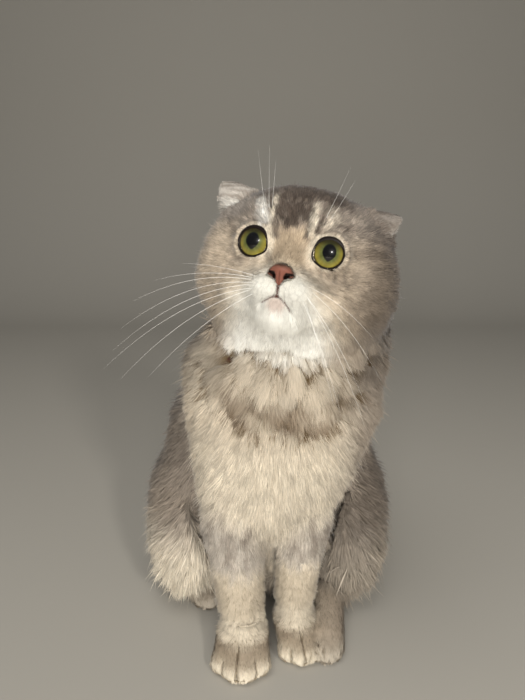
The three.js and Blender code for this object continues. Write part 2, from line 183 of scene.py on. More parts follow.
def places_of(mesh):
    return rows_of(mesh.vertices, "co")


def normals_of(mesh):
    return rows_of(mesh.vertex_normals, "vector")


def paint(mesh, name, tint):
    """Keeps one linear colour for each vertex."""
    layer = mesh.color_attributes.new(name, "FLOAT_COLOR", "POINT")
    rgba = np.concatenate([np.clip(tint, 0, 1), np.ones((len(tint), 1))], 1)
    layer.data.foreach_set("color", rgba.astype(np.float32).ravel())


# Materials


def add_node(material, kind, sockets=(), **settings):
    """Adds a node. sockets gives each input a number, a colour, or another node's output."""
    made = material.node_tree.nodes.new(kind)
    for name, value in settings.items():
        setattr(made, name, value)
    for name, value in dict(sockets).items():
        if isinstance(value, bpy.types.NodeSocket):
            material.node_tree.links.new(value, made.inputs[name])
        else:
            made.inputs[name].default_value = value
    return made


def finish_of(name, painted=None, **sockets):
    """A material with one principled shader. painted names colours that are kept on the mesh."""
    material = bpy.data.materials.new(name)
    material.use_nodes = True
    material.node_tree.nodes.clear()
    inputs = {socket.replace("_", " "): value for socket, value in sockets.items()}
    shader = add_node(material, "ShaderNodeBsdfPrincipled", inputs)
    if painted:
        tint = add_node(material, "ShaderNodeAttribute", attribute_name=painted)
        material.node_tree.links.new(tint.outputs["Color"], shader.inputs["Base Color"])
    add_node(material, "ShaderNodeOutputMaterial", {"Surface": shader.outputs["BSDF"]})
    return material, shader


def colour(hexcode):
    return (*linear(hexcode), 1.0)


def relief(material, shader, kind, output, sockets, height, strength):
    """Bumps of a texture that lies in the object's own space."""
    place = add_node(material, "ShaderNodeTexCoord")
    texture = add_node(material, kind, {"Vector": place.outputs["Object"], **sockets})
    sockets = {"Height": texture.outputs[output], "Distance": height, "Strength": strength}
    bump = add_node(material, "ShaderNodeBump", sockets)
    material.node_tree.links.new(bump.outputs["Normal"], shader.inputs["Normal"])


def guard_hair():
    # Guard hairs of a plush cat's coat, dry keratin under a cuticle of small scales: light spreads
    # wide along them and only the rim of the coat glows a little.
    look = {"Roughness": 0.58, "IOR": 1.55, "Specular_IOR_Level": 0.22}
    return finish_of("guard_hair", "coat_tint", Sheen_Weight=0.15, Sheen_Roughness=0.45, **look)[0]


def undercoat():
    # Woolly down on the skin, seen between the guard hairs: quite matt, in strands 0.1 mm thick that
    # are drawn 0.5 mm apart so that they show.
    material, shader = finish_of("undercoat", "coat_tint", Roughness=0.95, Specular_IOR_Level=0.12)
    strands = {"Scale": 2000.0, "Detail": 2.0}
    relief(material, shader, "ShaderNodeTexNoise", "Fac", strands, 0.5 * MM, 0.5)
    return material


def living_eye():
    # Iris under a clear cornea with a film of tears, index 1.376: soft colour and one sharp gloss.
    cornea = {"Coat_Weight": 1.0, "Coat_Roughness": 0.015, "Coat_IOR": 1.376}
    return finish_of("living_eye", "eye_tint", Roughness=0.35, IOR=1.376, **cornea)[0]


def nose_leather():
    # Bare nose skin in pebbles 0.5 mm across, brick red from the blood under it and a little moist.
    blood = {
        "Subsurface_Weight": 0.1,
        "Subsurface_Radius": (1.2 * MM, 0.5 * MM, 0.3 * MM),
        "Subsurface_Scale": 1.0,
    }
    look = {"Roughness": 0.45, "IOR": 1.4, "Specular_IOR_Level": 0.45}
    material, shader = finish_of("nose_leather", "coat_tint", **look, **blood)
    relief(material, shader, "ShaderNodeTexVoronoi", "Distance", {"Scale": 2000.0}, 0.1 * MM, 0.45)
    return material


def wet_lid():
    # Bare lid margin, dark skin kept wet by tears.
    return finish_of("wet_lid", Base_Color=colour("#17100d"), Roughness=0.45, IOR=1.4)[0]


def whisker_bristle():
    # Stiff white bristle, thick keratin without pigment.
    return finish_of("whisker_bristle", Base_Color=colour("#f6f3ec"), Roughness=0.4, IOR=1.55)[0]


def studio_paint():
    # Matt emulsion on a studio sweep.
    return finish_of("studio_paint", Base_Color=colour("#aba69c"), Roughness=0.9)[0]


# The cat's own frames


class Frames:
    """Turns places between the row's frame, in metres, and the body's and head's, in mm."""

    def __init__(self):
        self.turn = np.array(HEAD_TURN.to_matrix())
        middles = []
        for node in ("eye_left", "eye_right"):
            low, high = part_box(node)
            middles.append(((low.x + high.x) / 2, high.y - EYE_RADIUS * MM, (low.z + high.z) / 2))
        between_eyes = np.array([0, EYE_PLACE[1], EYE_PLACE[2]]) * MM
        self.origin = np.mean(middles, axis=0) - self.turn @ between_eyes
        self.shift = self.origin - np.array(HEAD_PLACE) * MM

    def body(self, points):
        return (points - self.shift) / MM

    def from_body(self, local):
        return np.asarray(local) * MM + self.shift

    def head(self, points):
        return (points - self.origin) @ self.turn / MM

    def from_head(self, local):
        return np.asarray(local) * MM @ self.turn.T + self.origin

    def way_from_head(self, local):
        return np.asarray(local) @ self.turn.T


def eye_middle(side):
    return np.array([side * EYE_PLACE[0], EYE_PLACE[1], EYE_PLACE[2]])


def eye_turn(side, further=0):
    """Turns the eye's own frame, which looks along -Y, into the head's."""
    return np.array(Matrix.Rotation(math.radians(side * EYE_SPLAY + further), 3, "Z"))


OPENING_HALF = (8.1, 7.9)  # half the width and height between the lid margins
INNER_CORNER = math.radians(205)  # which way the inner corner points, round the eye from outward
CORNER_REACH = 0.7


def opening_angle(around):
    """Half the opening as an angle at the eyeball's middle, in the direction around: 0 is outward, a
    quarter turn up."""
    corner = np.maximum(0, np.cos(around - INNER_CORNER)) ** 14
    reach = np.hypot(OPENING_HALF[0] * np.cos(around), OPENING_HALF[1] * np.sin(around))
    return np.arcsin(np.minimum((reach + CORNER_REACH * corner) / EYE_RADIUS, 0.98))


def lid_margin(around):
    """Width of the lids' bare wet edge, in mm: broad on the upper lid only, where its dark also stands
    in for painted shade under the lid.
    """
    return 0.3 + 0.85 * smooth(0.3, 0.95, np.sin(around))


def beyond_lid(head_places, side):
    """How far each place lies outside the eye's opening, in mm round the eyeball, its distance from the
    eyeball's middle and its direction round the opening."""
    own = (head_places - eye_middle(side)) @ eye_turn(side)
    radius = np.linalg.norm(own, axis=1)
    angle = np.arccos(np.clip(-own[:, 1] / np.maximum(radius, 1e-6), -1, 1))
    around = np.arctan2(own[:, 2], side * own[:, 0])
    return (angle - opening_angle(around)) * EYE_RADIUS, radius, around


def beyond_lids(head_places):
    """How far each place lies from the nearer eye's bare lid margin, in mm."""
    found = []
    for side in (LEFT, RIGHT):
        over, radius, around = beyond_lid(head_places, side)
        found.append(over - lid_margin(around) + np.maximum(radius - EYE_RADIUS - 2.5, 0))
    return np.minimum(*found)


# Lines of the face and creases of the coat

# The mouth sits a little to the cat's right. Strength, half-width and line of the groove below the
# nose and of the lips on each side, seen from the front in the head's frame
MOUTH_MIDDLE = -1
MOUTH = (
    (1.0, 0.75, ((-1, -17.5), (-1, -24.4))),
    (1.0, 0.9, ((-1.6, -24.6), (-0.4, -24.6))),
    (0.8, 0.45, ((-1, -24.4), (-4.5, -25.7), (-9.2, -28.9))),
    (0.85, 0.5, ((-1, -24.4), (2.2, -25.6), (5.2, -28.4), (7.2, -31.2))),
)


def mouth_share(head_places):
    """How much each place of the face belongs to the bare lips."""
    found = np.zeros(len(head_places))
    for strength, half, line in MOUTH:
        away = distance_to_line(head_places[:, 0], head_places[:, 2], line)
        found = np.maximum(found, strength * smooth(half + 0.6, half - 0.2, away))
    return np.where(head_places[:, 1] < -30, found, 0)


# Where the coat parts or folds, in the body's frame: half-width, strength and the line
FOLDS = (
    (2.6, 0.9, ((-40, 1, 218), (-27, -8, 227), (-14, -14, 231), (0, -18, 232), (12, -20, 231))),
    (2.0, 0.5, ((12, -20, 231), (23, -19, 228), (36, -17, 230))),
    (1.8, 0.8, ((-47, 5, 194), (-37, -2, 202), (-27, -7, 209))),
    (1.6, 0.9, ((12, -20, 231), (13, -18, 220), (10, -17, 211))),
    (1.3, 0.6, ((34, -13, 204), (36, -14, 190))),
    (1.4, 0.5, ((44, -10, 197), (51, -8, 185), (61, -1, 174))),
    (1.2, 0.4, ((3, -20, 151), (4, -18, 130))),
)
# Slits between the toes and the cuff of the wrist, in each foot's frame: across, forward and up
TOE_LINES = (
    (1.0, 1.0, ((-1.5, 8, 21), (-2, 15, 16), (-2, 20, 9), (-2, 21, 1))),
    (0.9, 0.85, ((-12, 12, 13), (-13, 17, 1))),
    (0.9, 0.85, ((11, 12, 14), (12.5, 18, 1))),
)
CUFF = (1.5, 0.35, ((-18, 2, 19), (-7, 6, 23), (4, 7, 24), (15, 3, 22)))
# Place of the toes, turn in degrees and width of each foot
FEET = {
    "forepaw_right": ((-19, -26), -3, 1.0),
    "forepaw_left": ((23, -12), 16, 0.9),
    "hind_foot_right": ((-49, 34), 8, 0.8),
    "hind_foot_left": ((42, -18), -7.5, 0.8),
}


def all_creases():
    lines = list(FOLDS)
    for foot, ((x, y), turn, wide) in FEET.items():
        own = TOE_LINES + ((CUFF,) if foot.startswith("forepaw") else ())
        c, s = math.cos(math.radians(turn)), math.sin(math.radians(turn))
        for half, deep, line in own:
            route = [(x + c * u * wide + s * v, y + s * u * wide - c * v, w) for u, v, w in line]
            lines.append((half, deep, route))
    return lines


def crease_depth(places, normals):
    """How deep in a crease each place of the body lies, from 0 to 1."""
    found = np.zeros(len(places))
    for half, deep, line in all_creases():
        line = np.array(line, float)
        near = np.nonzero(np.all((places > line.min(0) - 14) & (places < line.max(0) + 14), 1))[0]
        n = normals[near]
        away = shortest(flattened(way, n) for way, _ in from_line(places[near], line))
        found[near] = np.maximum(found[near], deep * smooth(1.7 * half, 0.2 * half, away))
    return found


# Skin


def remeshed(source, voxel, soften=0):
    """The object's mesh rebuilt from voxels. The object goes."""
    remesh = source.modifiers.new("fuse", "REMESH")
    remesh.mode = "VOXEL"
    remesh.voxel_size = voxel
    if soften:
        softer = source.modifiers.new("soften", "SMOOTH")
        softer.factor, softer.iterations = 0.5, soften
    mesh = bpy.data.meshes.new_from_object(source.evaluated_get(bpy.context.evaluated_depsgraph_get()))
    bpy.data.objects.remove(source)
    return mesh


def fused_flesh(nodes):
    """One closed mesh of all the flesh nodes, without the cuts between them."""
    whole = bmesh.new()
    for name in FLESH:
        part = nodes[name].data.copy()
        part.vertices.foreach_set("co", (places_of(part) + normals_of(part) * FUSE).ravel())
        whole.from_mesh(part)
        bpy.data.meshes.remove(part)
    mesh = bpy.data.meshes.new("flesh")
    whole.to_mesh(mesh)
    whole.free()
    return remeshed(place_object("flesh", mesh), VOXEL)


def split(mesh, wanted):
    """Halves the edges whose two ends are wanted."""
    work = bmesh.new()
    work.from_mesh(mesh)
    edges = [e for e in work.edges if wanted[e.verts[0].index] and wanted[e.verts[1].index]]
    bmesh.ops.subdivide_edges(work, edges=edges, cuts=1, use_grid_fill=True)
    work.to_mesh(mesh)
    work.free()


def finer(mesh, frames):
    """Splits the skin's faces on the face, the toes and the lids, where the small forms are."""
    head, body = frames.head(places_of(mesh)), frames.body(places_of(mesh))
    face = (head[:, 1] < -24) & (np.abs(head[:, 0]) < 40) & (head[:, 2] > -40) & (head[:, 2] < 22)
    toes = (body[:, 2] < 24) & (body[:, 1] < -16)
    split(mesh, face | toes)
    head = frames.head(places_of(mesh))
    split(mesh, (np.abs(beyond_lids(head)) < 2.6) & (head[:, 1] < -24))


class Surface:
    """A mesh as arrays, with the smoothing that the skin needs."""

    def __init__(self, mesh):
        self.mesh = mesh
        self.points = places_of(mesh)
        a, b = rows_of(mesh.edges, "vertices", 2, int).T
        self.ends = np.concatenate([a, b])
        self.others = np.concatenate([b, a])
        self.valence = np.maximum(np.bincount(self.ends, minlength=len(self.points)), 1)

    def averaged(self, values):
        """Each vertex's mean over its neighbours."""
        columns = [np.bincount(self.ends, column[self.others], len(values)) for column in values.T]
        return np.stack(columns, 1) / self.valence[:, None]

    def spread(self, values, rounds):
        for _ in range(rounds):
            values = 0.5 * values + 0.5 * self.averaged(values)
        return values

    def melt(self, rounds, share, steps=(0.5,)):
        for step in steps * rounds:
            self.points += step * share[:, None] * (self.averaged(self.points) - self.points)

    def fair(self, rounds, share):
        """Smooths the points and gives back the size that smoothing takes."""
        self.melt(rounds, share, (0.5, -0.52))

    def normals(self):
        self.mesh.vertices.foreach_set("co", self.points.ravel())
        self.mesh.update()
        return normals_of(self.mesh)


def part_shares(surface, nodes, frames):
    """How much each vertex belongs to each part of the cat, blended across the joins."""
    places, labels = [], []
    for name in FLESH:
        found = places_of(nodes[name].data)
        places.append(found)
        labels += [next(i for i, part in enumerate(PARTS) if name.startswith(part))] * len(found)
    tree = kdtree.KDTree(len(labels))
    for i, place in enumerate(np.concatenate(places)):
        tree.insert(place, i)
    tree.balance()
    nearest = np.array([labels[tree.find(p)[1]] for p in surface.points])
    shares = surface.spread(np.eye(len(PARTS))[nearest], 6)
    # the joins of the head and ears stay narrow
    wide = surface.spread(shares, 60)
    wide[:, :2] = shares[:, :2]
    wide[:, 2:] *= ((1 - wide[:, :2].sum(1)) / np.maximum(wide[:, 2:].sum(1), 1e-9))[:, None]
    share = {part: wide[:, i] for i, part in enumerate(PARTS)}
    # the sock of the foreleg hangs over the top of the paw
    sock = share["forepaw"] * smooth(19, 25, frames.body(surface.points)[:, 2])
    share["foreleg"] = share["foreleg"] + sock
    share["forepaw"] = share["forepaw"] - sock
    return share


def set_lids(surface, frames):
    """Lays the skin over the eyeballs as lids with a rounded edge."""
    local = frames.head(surface.points)
    for side in (LEFT, RIGHT):
        beyond, radius, around = beyond_lid(local, side)
        near = (radius < EYE_RADIUS + 6) & (radius > 3) & (beyond < 6)
        beyond = beyond - lid_margin(around) + 0.45
        lid = np.interp(beyond, (-0.8, 0.1, 0.75, 1.8, 3.5, 7), (-1.6, -1.0, 0.3, 0.95, 1.3, 1.2))
        lid += 0.35 * smooth(-0.3, 0.8, np.sin(around)) * smooth(0, 1.5, beyond)
        share = np.where(near, smooth(5.0, 1.0, beyond), 0) * smooth(6, 4, radius - EYE_RADIUS)
        scale = 1 + share * ((EYE_RADIUS + lid) / np.maximum(radius, 1e-6) - 1)
        local = eye_middle(side) + (local - eye_middle(side)) * scale[:, None]
    surface.points = frames.from_head(local)


def make_skin(nodes, frames):
    """The skin under the coat, from the solids' flesh: its surface, normals, part shares and creases."""
    mesh = fused_flesh(nodes)
    finer(mesh, frames)
    surface = Surface(mesh)
    share = part_shares(surface, nodes, frames)
    on_toes = share["forepaw"] + share["hind_foot"]
    surface.fair(8, 1 - np.clip(0.75 * share["ear"] + 0.4 * on_toes, 0, 1))
    # shoulders and haunches run into the trunk without a step
    high = smooth(70, 95, frames.body(surface.points)[:, 2])
    shoulder = 4 * share["foreleg"] * (1 - share["foreleg"]) * high
    haunch = 4 * share["thigh"] * share["torso"]
    throat = 4 * share["neck"] * share["chest"]
    joins = np.clip(3 * np.maximum(np.maximum(shoulder, throat), haunch), 0, 1)
    surface.melt(90, surface.spread(joins[:, None], 10)[:, 0])
    # the chin runs on into the throat
    x, y, z = frames.head(surface.points).T
    below_chin = smooth(-32, -38, z) * smooth(-58, -50, z) * smooth(30, 20, np.abs(x))
    surface.melt(40, below_chin * smooth(-10, -20, y))
    depth = coat_depth(frames.head(surface.points), share)
    for _ in range(4):
        surface.points -= surface.normals() * (FUSE + depth[:, None] * MM) / 4
        surface.fair(1, np.clip(depth / 6, 0, 1) * 0.8)
    set_lids(surface, frames)
    beyond = beyond_lids(frames.head(surface.points))
    surface.melt(30, smooth(1.6, 3.0, beyond) * smooth(12, 7, beyond) * share["head"])

    normals = surface.normals()
    local, body = frames.head(surface.points), frames.body(surface.points)
    crease = crease_depth(body, normals)
    across, up = np.abs(local[:, 0] - MOUTH_MIDDLE), local[:, 2]
    pads = smooth(9, 2, np.hypot(across - 8, up + 20)) * smooth(-40, -46, local[:, 1])
    sink = crease * (0.6 + 0.9 * on_toes) + 1.1 * mouth_share(local) - 1.0 * pads
    _, lengthwise, _, inside = ruff_locks(body)
    crest = smooth(0, 0.35, inside) * (0.4 + 0.6 * smooth(-0.6, 0.4, lengthwise))
    sink += ruff_share(body, share) * LOCK_HIGH * (0.6 - crest)
    surface.points -= normals * sink[:, None] * MM
    surface.points[:, 2] = np.maximum(surface.points[:, 2], FLOOR_GAP)
    normals = surface.normals()
    mesh.shade_smooth()
    return surface, normals, share, crease


def unwrap(skin):
    """Unwraps the skin into flat islands and returns each corner's place on the unwrap."""
    skin.data.uv_layers.new(name="OFBake")
    bpy.context.view_layer.objects.active = skin
    skin.select_set(True)
    bpy.ops.object.mode_set(mode="EDIT")
    bpy.ops.mesh.select_all(action="SELECT")
    bpy.ops.uv.smart_project(angle_limit=math.radians(66), island_margin=0.001)
    bpy.ops.object.mode_set(mode="OBJECT")
    skin.select_set(False)
    return rows_of(skin.data.uv_layers["OFBake"].data, "uv", 2, np.float32)


# Coat: for each place on the skin, how deep, how long, which way and what colour

RUFF_TOP = (12, 242)  # across and up in the body's frame, where the locks of the ruff fan out
RUFF_REACH = (52, 72)  # how far from there the locks are whole, and where they end
LOCK_WIDE = 8
LOCK_AT = 36  # how far from the ruff's top the locks are that wide
LOCK_LONG = 20
LOCK_HIGH = 4.5
EAR_TUFT = np.array([-47, -6, 30])


def from_ruff_top(body):
    """Each place's mm across and down from the ruff's top, and its distance."""
    x, down = body[:, 0] - RUFF_TOP[0], RUFF_TOP[1] - body[:, 2]
    return x, down, np.hypot(x, down)


def ruff_share(body, share):
    reach = from_ruff_top(body)[2]
    own = smooth(RUFF_REACH[1], RUFF_REACH[0], reach) * smooth(6, 14, reach)
    return own * (share["neck"] + share["chest"]) * smooth(26, 4, body[:, 1])


def ruff_locks(body):
    """Each place's lock of the ruff: mm across from its middle, share along it, two numbers of its own,
    and how far inside the lock the place lies."""
    x, down, reach = from_ruff_top(body)
    fan = np.arctan2(x, np.maximum(down, -20))
    flat = np.stack([fan * LOCK_AT / LOCK_WIDE, reach / LOCK_LONG, 0 * reach], 1)
    place, luck, inside = nearest_clump(flat, 1.0, 5)
    across = (flat[:, 0] - place[:, 0]) * LOCK_WIDE / LOCK_AT * reach
    return across, flat[:, 1] - place[:, 1], luck, inside


def cheek_share(local):
    return smooth(-36, -8, local[:, 1]) * smooth(22, 42, np.abs(local[:, 0]))


def coat_depth(local, share):
    """How far the skin lies inside the coat's outer surface, in mm."""
    y, z = local[:, 1], local[:, 2]
    face = 0.8 + 1.4 * smooth(-44, -30, y) + 2.6 * cheek_share(local) + 1.2 * smooth(-28, -42, z)
    crown = smooth(24, 40, z) * smooth(-30, -5, y)
    face = np.maximum(face, 3.2 * crown) * smooth(0, 6, beyond_lids(local))
    trunk = dict(neck=6.0, chest=5.5, torso=5.0, thigh=4.5)
    limbs = dict(foreleg=2.6, forepaw=1.0, hind_foot=1.2, tail=4.5)
    return by_part(share, head=np.maximum(face, 0.3), ear=0.4, **trunk, **limbs)


def hair_length(local, body, share):
    """Length of the guard hairs, in mm."""
    x, y, z = local.T
    face = 5.0 - 2.6 * smooth(-38, -47, y) + 5.0 * cheek_share(local) + 3.0 * smooth(-26, -44, z)
    face = 2.6 + (face - 2.6) * smooth(0.3, 6, beyond_lids(local))
    # the beard hangs over the hollow below the chin
    beard = smooth(-26, -32, z) * smooth(-48, -40, z) * smooth(26, 16, np.abs(x))
    face += 6.0 * beard * smooth(-20, -30, y)
    # white tuft below the lifted ear
    face += 5.0 * smooth(6, 2, np.linalg.norm(local - EAR_TUFT, axis=1))
    high = body[:, 2]
    haunch = 14.0 + 13.0 * smooth(80, 40, high) * smooth(110, 50, body[:, 1])
    trunk = dict(neck=15.0, chest=13.0, torso=14.0, thigh=haunch)
    limbs = dict(foreleg=4.0 + 6.0 * smooth(50, 90, high), forepaw=3.6, hind_foot=4.0, tail=12.0)
    return by_part(share, head=face, ear=1.7, **trunk, **limbs)


def ticking(local, body, share):
    """How much the hairs differ from each other and along their length: most on the crown, least
    where the coat is white or cream."""
    y, z = local[:, 1], local[:, 2]
    face = 0.8 + 1.2 * smooth(0, 20, z) - 0.5 * smooth(-34, -42, y) * smooth(-6, -14, z)
    face -= 0.3 * smooth(-28, -40, z)
    socks = share["foreleg"] * smooth(76, 56, body[:, 2])
    pale = share["ear"] + share["forepaw"] + share["hind_foot"] + socks
    return share["head"] * face + (1 - share["head"]) * (1 - 0.5 * pale)


def face_lie(local):
    """The way the hairs lie on the head, in its own frame: away from the nose and round the eyes."""
    x, y, z = local.T
    middles = np.where(x < 0, RIGHT, LEFT)[:, None] * (EYE_PLACE[0], 0, 0) + (0, *EYE_PLACE[1:])
    face = unit(local - np.array([0, -46, -4]))
    round_eye = np.exp(-np.clip(beyond_lids(local), 0, None) / 3.5)[:, None]
    face = unit(face + 1.1 * round_eye * unit(local - middles))
    # down over the chin and throat, up the bridge of the nose
    face += smooth(-24, -46, z)[:, None] * np.array([0, 0.1, -1.1])
    bridge = smooth(14, 5, np.abs(x)) * smooth(-10, -6, z) * smooth(14, 6, z)
    face += 2.5 * bridge[:, None] * np.array([0, 0.3, 1.0])
    face = unit(mix(face, np.array([0, 0.35, -1.0]), smooth(0, 30, y)))
    tuft = smooth(8, 3, np.linalg.norm(local - EAR_TUFT, axis=1))[:, None]
    return unit(face + 2 * tuft * np.array([-1, 0, 0.1]))


# Which way the hairs of the body lie: outward, back and up
BODY_LIE = {
    "neck": (1.1, 0, -1),
    "chest": (0.75, 0.05, -1),
    "torso": (0.1, 0.5, -1),
    "thigh": (0.25, 0.2, -1),
    "foreleg": (0, 0.1, -1),
    "forepaw": (0, -1, -0.45),
    "hind_foot": (0, -1, -0.3),
}


def lie(points, normals, frames, share, tail_way):
    """The way the hairs lie, in the row's frame."""
    local, body = frames.head(points), frames.body(points)
    side = np.where(local[:, 0] < 0, RIGHT, LEFT)
    none = np.zeros(len(points))
    outward = np.clip((body[:, 0] - 8) / 60, -1, 1)
    ways = {
        "head": frames.way_from_head(face_lie(local)),
        "ear": frames.way_from_head(unit(np.stack([1.0 * side, none - 0.1, none + 0.2], 1))),
    }
    for part, (out, back, up) in BODY_LIE.items():
        ways[part] = np.stack([out * outward, none + back, none + up], 1)
    ways["tail"] = tail_way
    total = sum(share[part][:, None] * unit(way) for part, way in ways.items())
    # the ruff fans out and droops at its sides
    x, fall, _ = from_ruff_top(body)
    droop = -0.7 - 0.9 * smooth(22, 48, np.abs(x))
    fan = unit(unit(np.stack([x, none, -fall], 1)) + np.stack([none, none, droop], 1))
    total = mix(total, fan, ruff_share(body, share))
    return unit(flattened(total, normals))


WARM = linear("#b9a994")  # cheeks and shoulders
GREY = linear("#8b8074")  # forehead, flanks and haunches
ASH = linear("#b4aba0")  # upper forelegs and ears
SMOKE = linear("#4a4038")  # crown, stripes and back
TAN = linear("#9e8c74")  # bridge of the nose and tops of the toes
SHADE_BELOW_RUFF = linear("#7a6752")  # painted shade below the last locks of the ruff, in a band across the breast
CREAM = linear("#ddd2bd")  # breast, ruff and stripes of light
SAND = linear("#bcae98")  # socks
WHITE = linear("#f2efe6")  # throat
CHALK = linear("#dedbd1")  # muzzle and chin
LIP = linear("#5a3831")  # bare lips
BLUSH = linear("#c3a89a")  # skin that shows through below the lips

# Marks of the face, seen from the front in the head's frame: colour, strength, half-width, softness
# and line. The right half's marks differ a little from the left's, as on any tabby.
MARKS = (
    (SMOKE, 0.9, 8.5, 4.0, ((-4, 48), (-4, 33), (-2, 25))),
    (SMOKE, 1.0, 3.0, 2.5, ((-3, 26), (-3.5, 17))),
    (SMOKE, 0.8, 1.1, 1.2, ((-17.5, 32), (-17, 28), (-16.4, 15))),
    (SMOKE, 0.7, 1.2, 1.4, ((-12, 33), (-11.5, 17), (-9.3, 8.5))),
    (SMOKE, 0.7, 1.2, 1.4, ((7.5, 27), (7.3, 10))),
    (SMOKE, 0.85, 1.3, 1.3, ((16, 35), (14.8, 27), (13.6, 15))),
    (SMOKE, 0.6, 1.7, 1.6, ((22, 21), (29, 20))),
    (SMOKE, 0.95, 4.4, 4.0, ((4, 41), (16, 37), (26, 38), (37, 35))),
    (SMOKE, 0.5, 3.5, 4.0, ((-16, 41), (-26, 38))),
    (CREAM, 0.6, 0.9, 1.2, ((-14.4, 33), (-14.6, 15), (-14, 11))),
    (CREAM, 0.55, 1.6, 1.3, ((9, 30), (9.7, 20), (10.1, 13))),
    (WHITE, 0.5, 2.4, 2.4, ((-24, 30), (-21, 24), (-18.5, 17))),
    (CREAM, 0.3, 2.2, 2.6, ((18, 29), (21, 23), (18, 19))),
    (SMOKE, 0.4, 1.8, 2.5, ((-35, 8), (-41, 17))),
    (SMOKE, 0.5, 2.2, 3.0, ((36, 7), (48, 10), (54, 6))),
    (SMOKE, 0.5, 4.5, 5.0, ((18, -12), (33, -8))),
    (GREY, 0.45, 3.0, 4.0, ((-18, -9), (-28, -8))),
    (SMOKE, 0.6, 0.5, 0.9, ((13, -14.5), (20, -16), (26, -17), (30, -18))),
    (SMOKE, 0.5, 0.5, 0.9, ((-14, -14.5), (-21, -18), (-30, -16))),
    (SMOKE, 0.5, 1.5, 1.8, ((-12, -2), (-8, -8))),
    (SMOKE, 0.6, 1.6, 1.8, ((8, -8), (13, -10))),
    (SMOKE, 0.8, 0.4, 0.8, ((-6, -12.5), (-10, -10.8))),
    (SMOKE, 0.8, 0.4, 0.8, ((5, -12.8), (9, -12.2))),
)


def head_tint(local):
    side, y, z = local.T
    x = np.abs(side)
    front = smooth(-6, -20, y)
    # pale spectacles round the lids, widest at the inner corner
    width = 0.5 + 3.0 * smooth(19, 11, x)
    spectacles = smooth(width + 1.6, 0.3 * width, beyond_lids(local))
    tint = washed(
        WARM,
        (GREY, smooth(4, 22, z)),
        (GREY, 0.5 * smooth(-16, 0, y)),
        # the cat's left side of the face is darker: greyer fur there, deepened by painted shade on the side
        # away from the light
        (SMOKE, 0.75 * smooth(30, 50, side) * smooth(-50, -25, z)),
        (TAN, 0.85 * smooth(14, 5, x) * smooth(20, 10, z) * front),
        (SMOKE, 0.75 * smooth(28, 40, z) * smooth(44, 26, x) * smooth(40, 0, y)),
        (CREAM, 0.6 * spectacles * front),
    )
    tint = tint * (1 + 0.13 * wander(local, 3.5, 13) * smooth(8, 22, x))[:, None]
    # each mark is broken into streaks along the hair
    streak = wander(local * (1, 1, 0.3), 2.2, 11)
    wave = 0.7 * wander(local, 5, 12)
    for shade, strength, half, soft, line in MARKS:
        own = smooth(half + soft, half - 0.5 * soft, distance_to_line(side + wave, z, line)) * front
        tint = mix(tint, shade, np.clip(strength * own * (1 + 0.35 * streak), 0, 1))
    # white muzzle, chin and throat, cream where it runs out over the jowls
    pads = smooth(15, 8, np.hypot(x - 5, (z + 21) * 1.3)) * smooth(-34, -42, y)
    chin = smooth(26, 14, np.hypot(side + 1, (z + 36) * 0.9))
    throat = smooth(40, 22, np.hypot(side + 2, (z + 54) * 0.8))
    jowls = smooth(44, 24, np.hypot(side + 2, (z + 40) * 1.1)) * smooth(20, -10, y)
    tint = washed(
        tint,
        (CREAM, 0.75 * jowls),
        (WHITE, 0.95 * throat * smooth(30, 8, y)),
        (CHALK, 0.95 * np.maximum(pads, chin)),
    )
    # painted shade on the chin under the bulging muzzle pads, kept above the throat
    tint = tint * (1 - 0.14 * chin * (1 - pads) * smooth(-40, -32, z))[:, None]
    return washed(
        tint,
        (BLUSH, 0.55 * smooth(6, 2, np.hypot((side - MOUTH_MIDDLE) * 0.8, z + 29))),
        (LIP, mouth_share(local)),
        (WHITE, 0.8 * smooth(6, 3, np.linalg.norm(local - EAR_TUFT, axis=1))),
        (SMOKE, 0.5 * smooth(0, 30, y) * smooth(-40, 10, z)),
    )


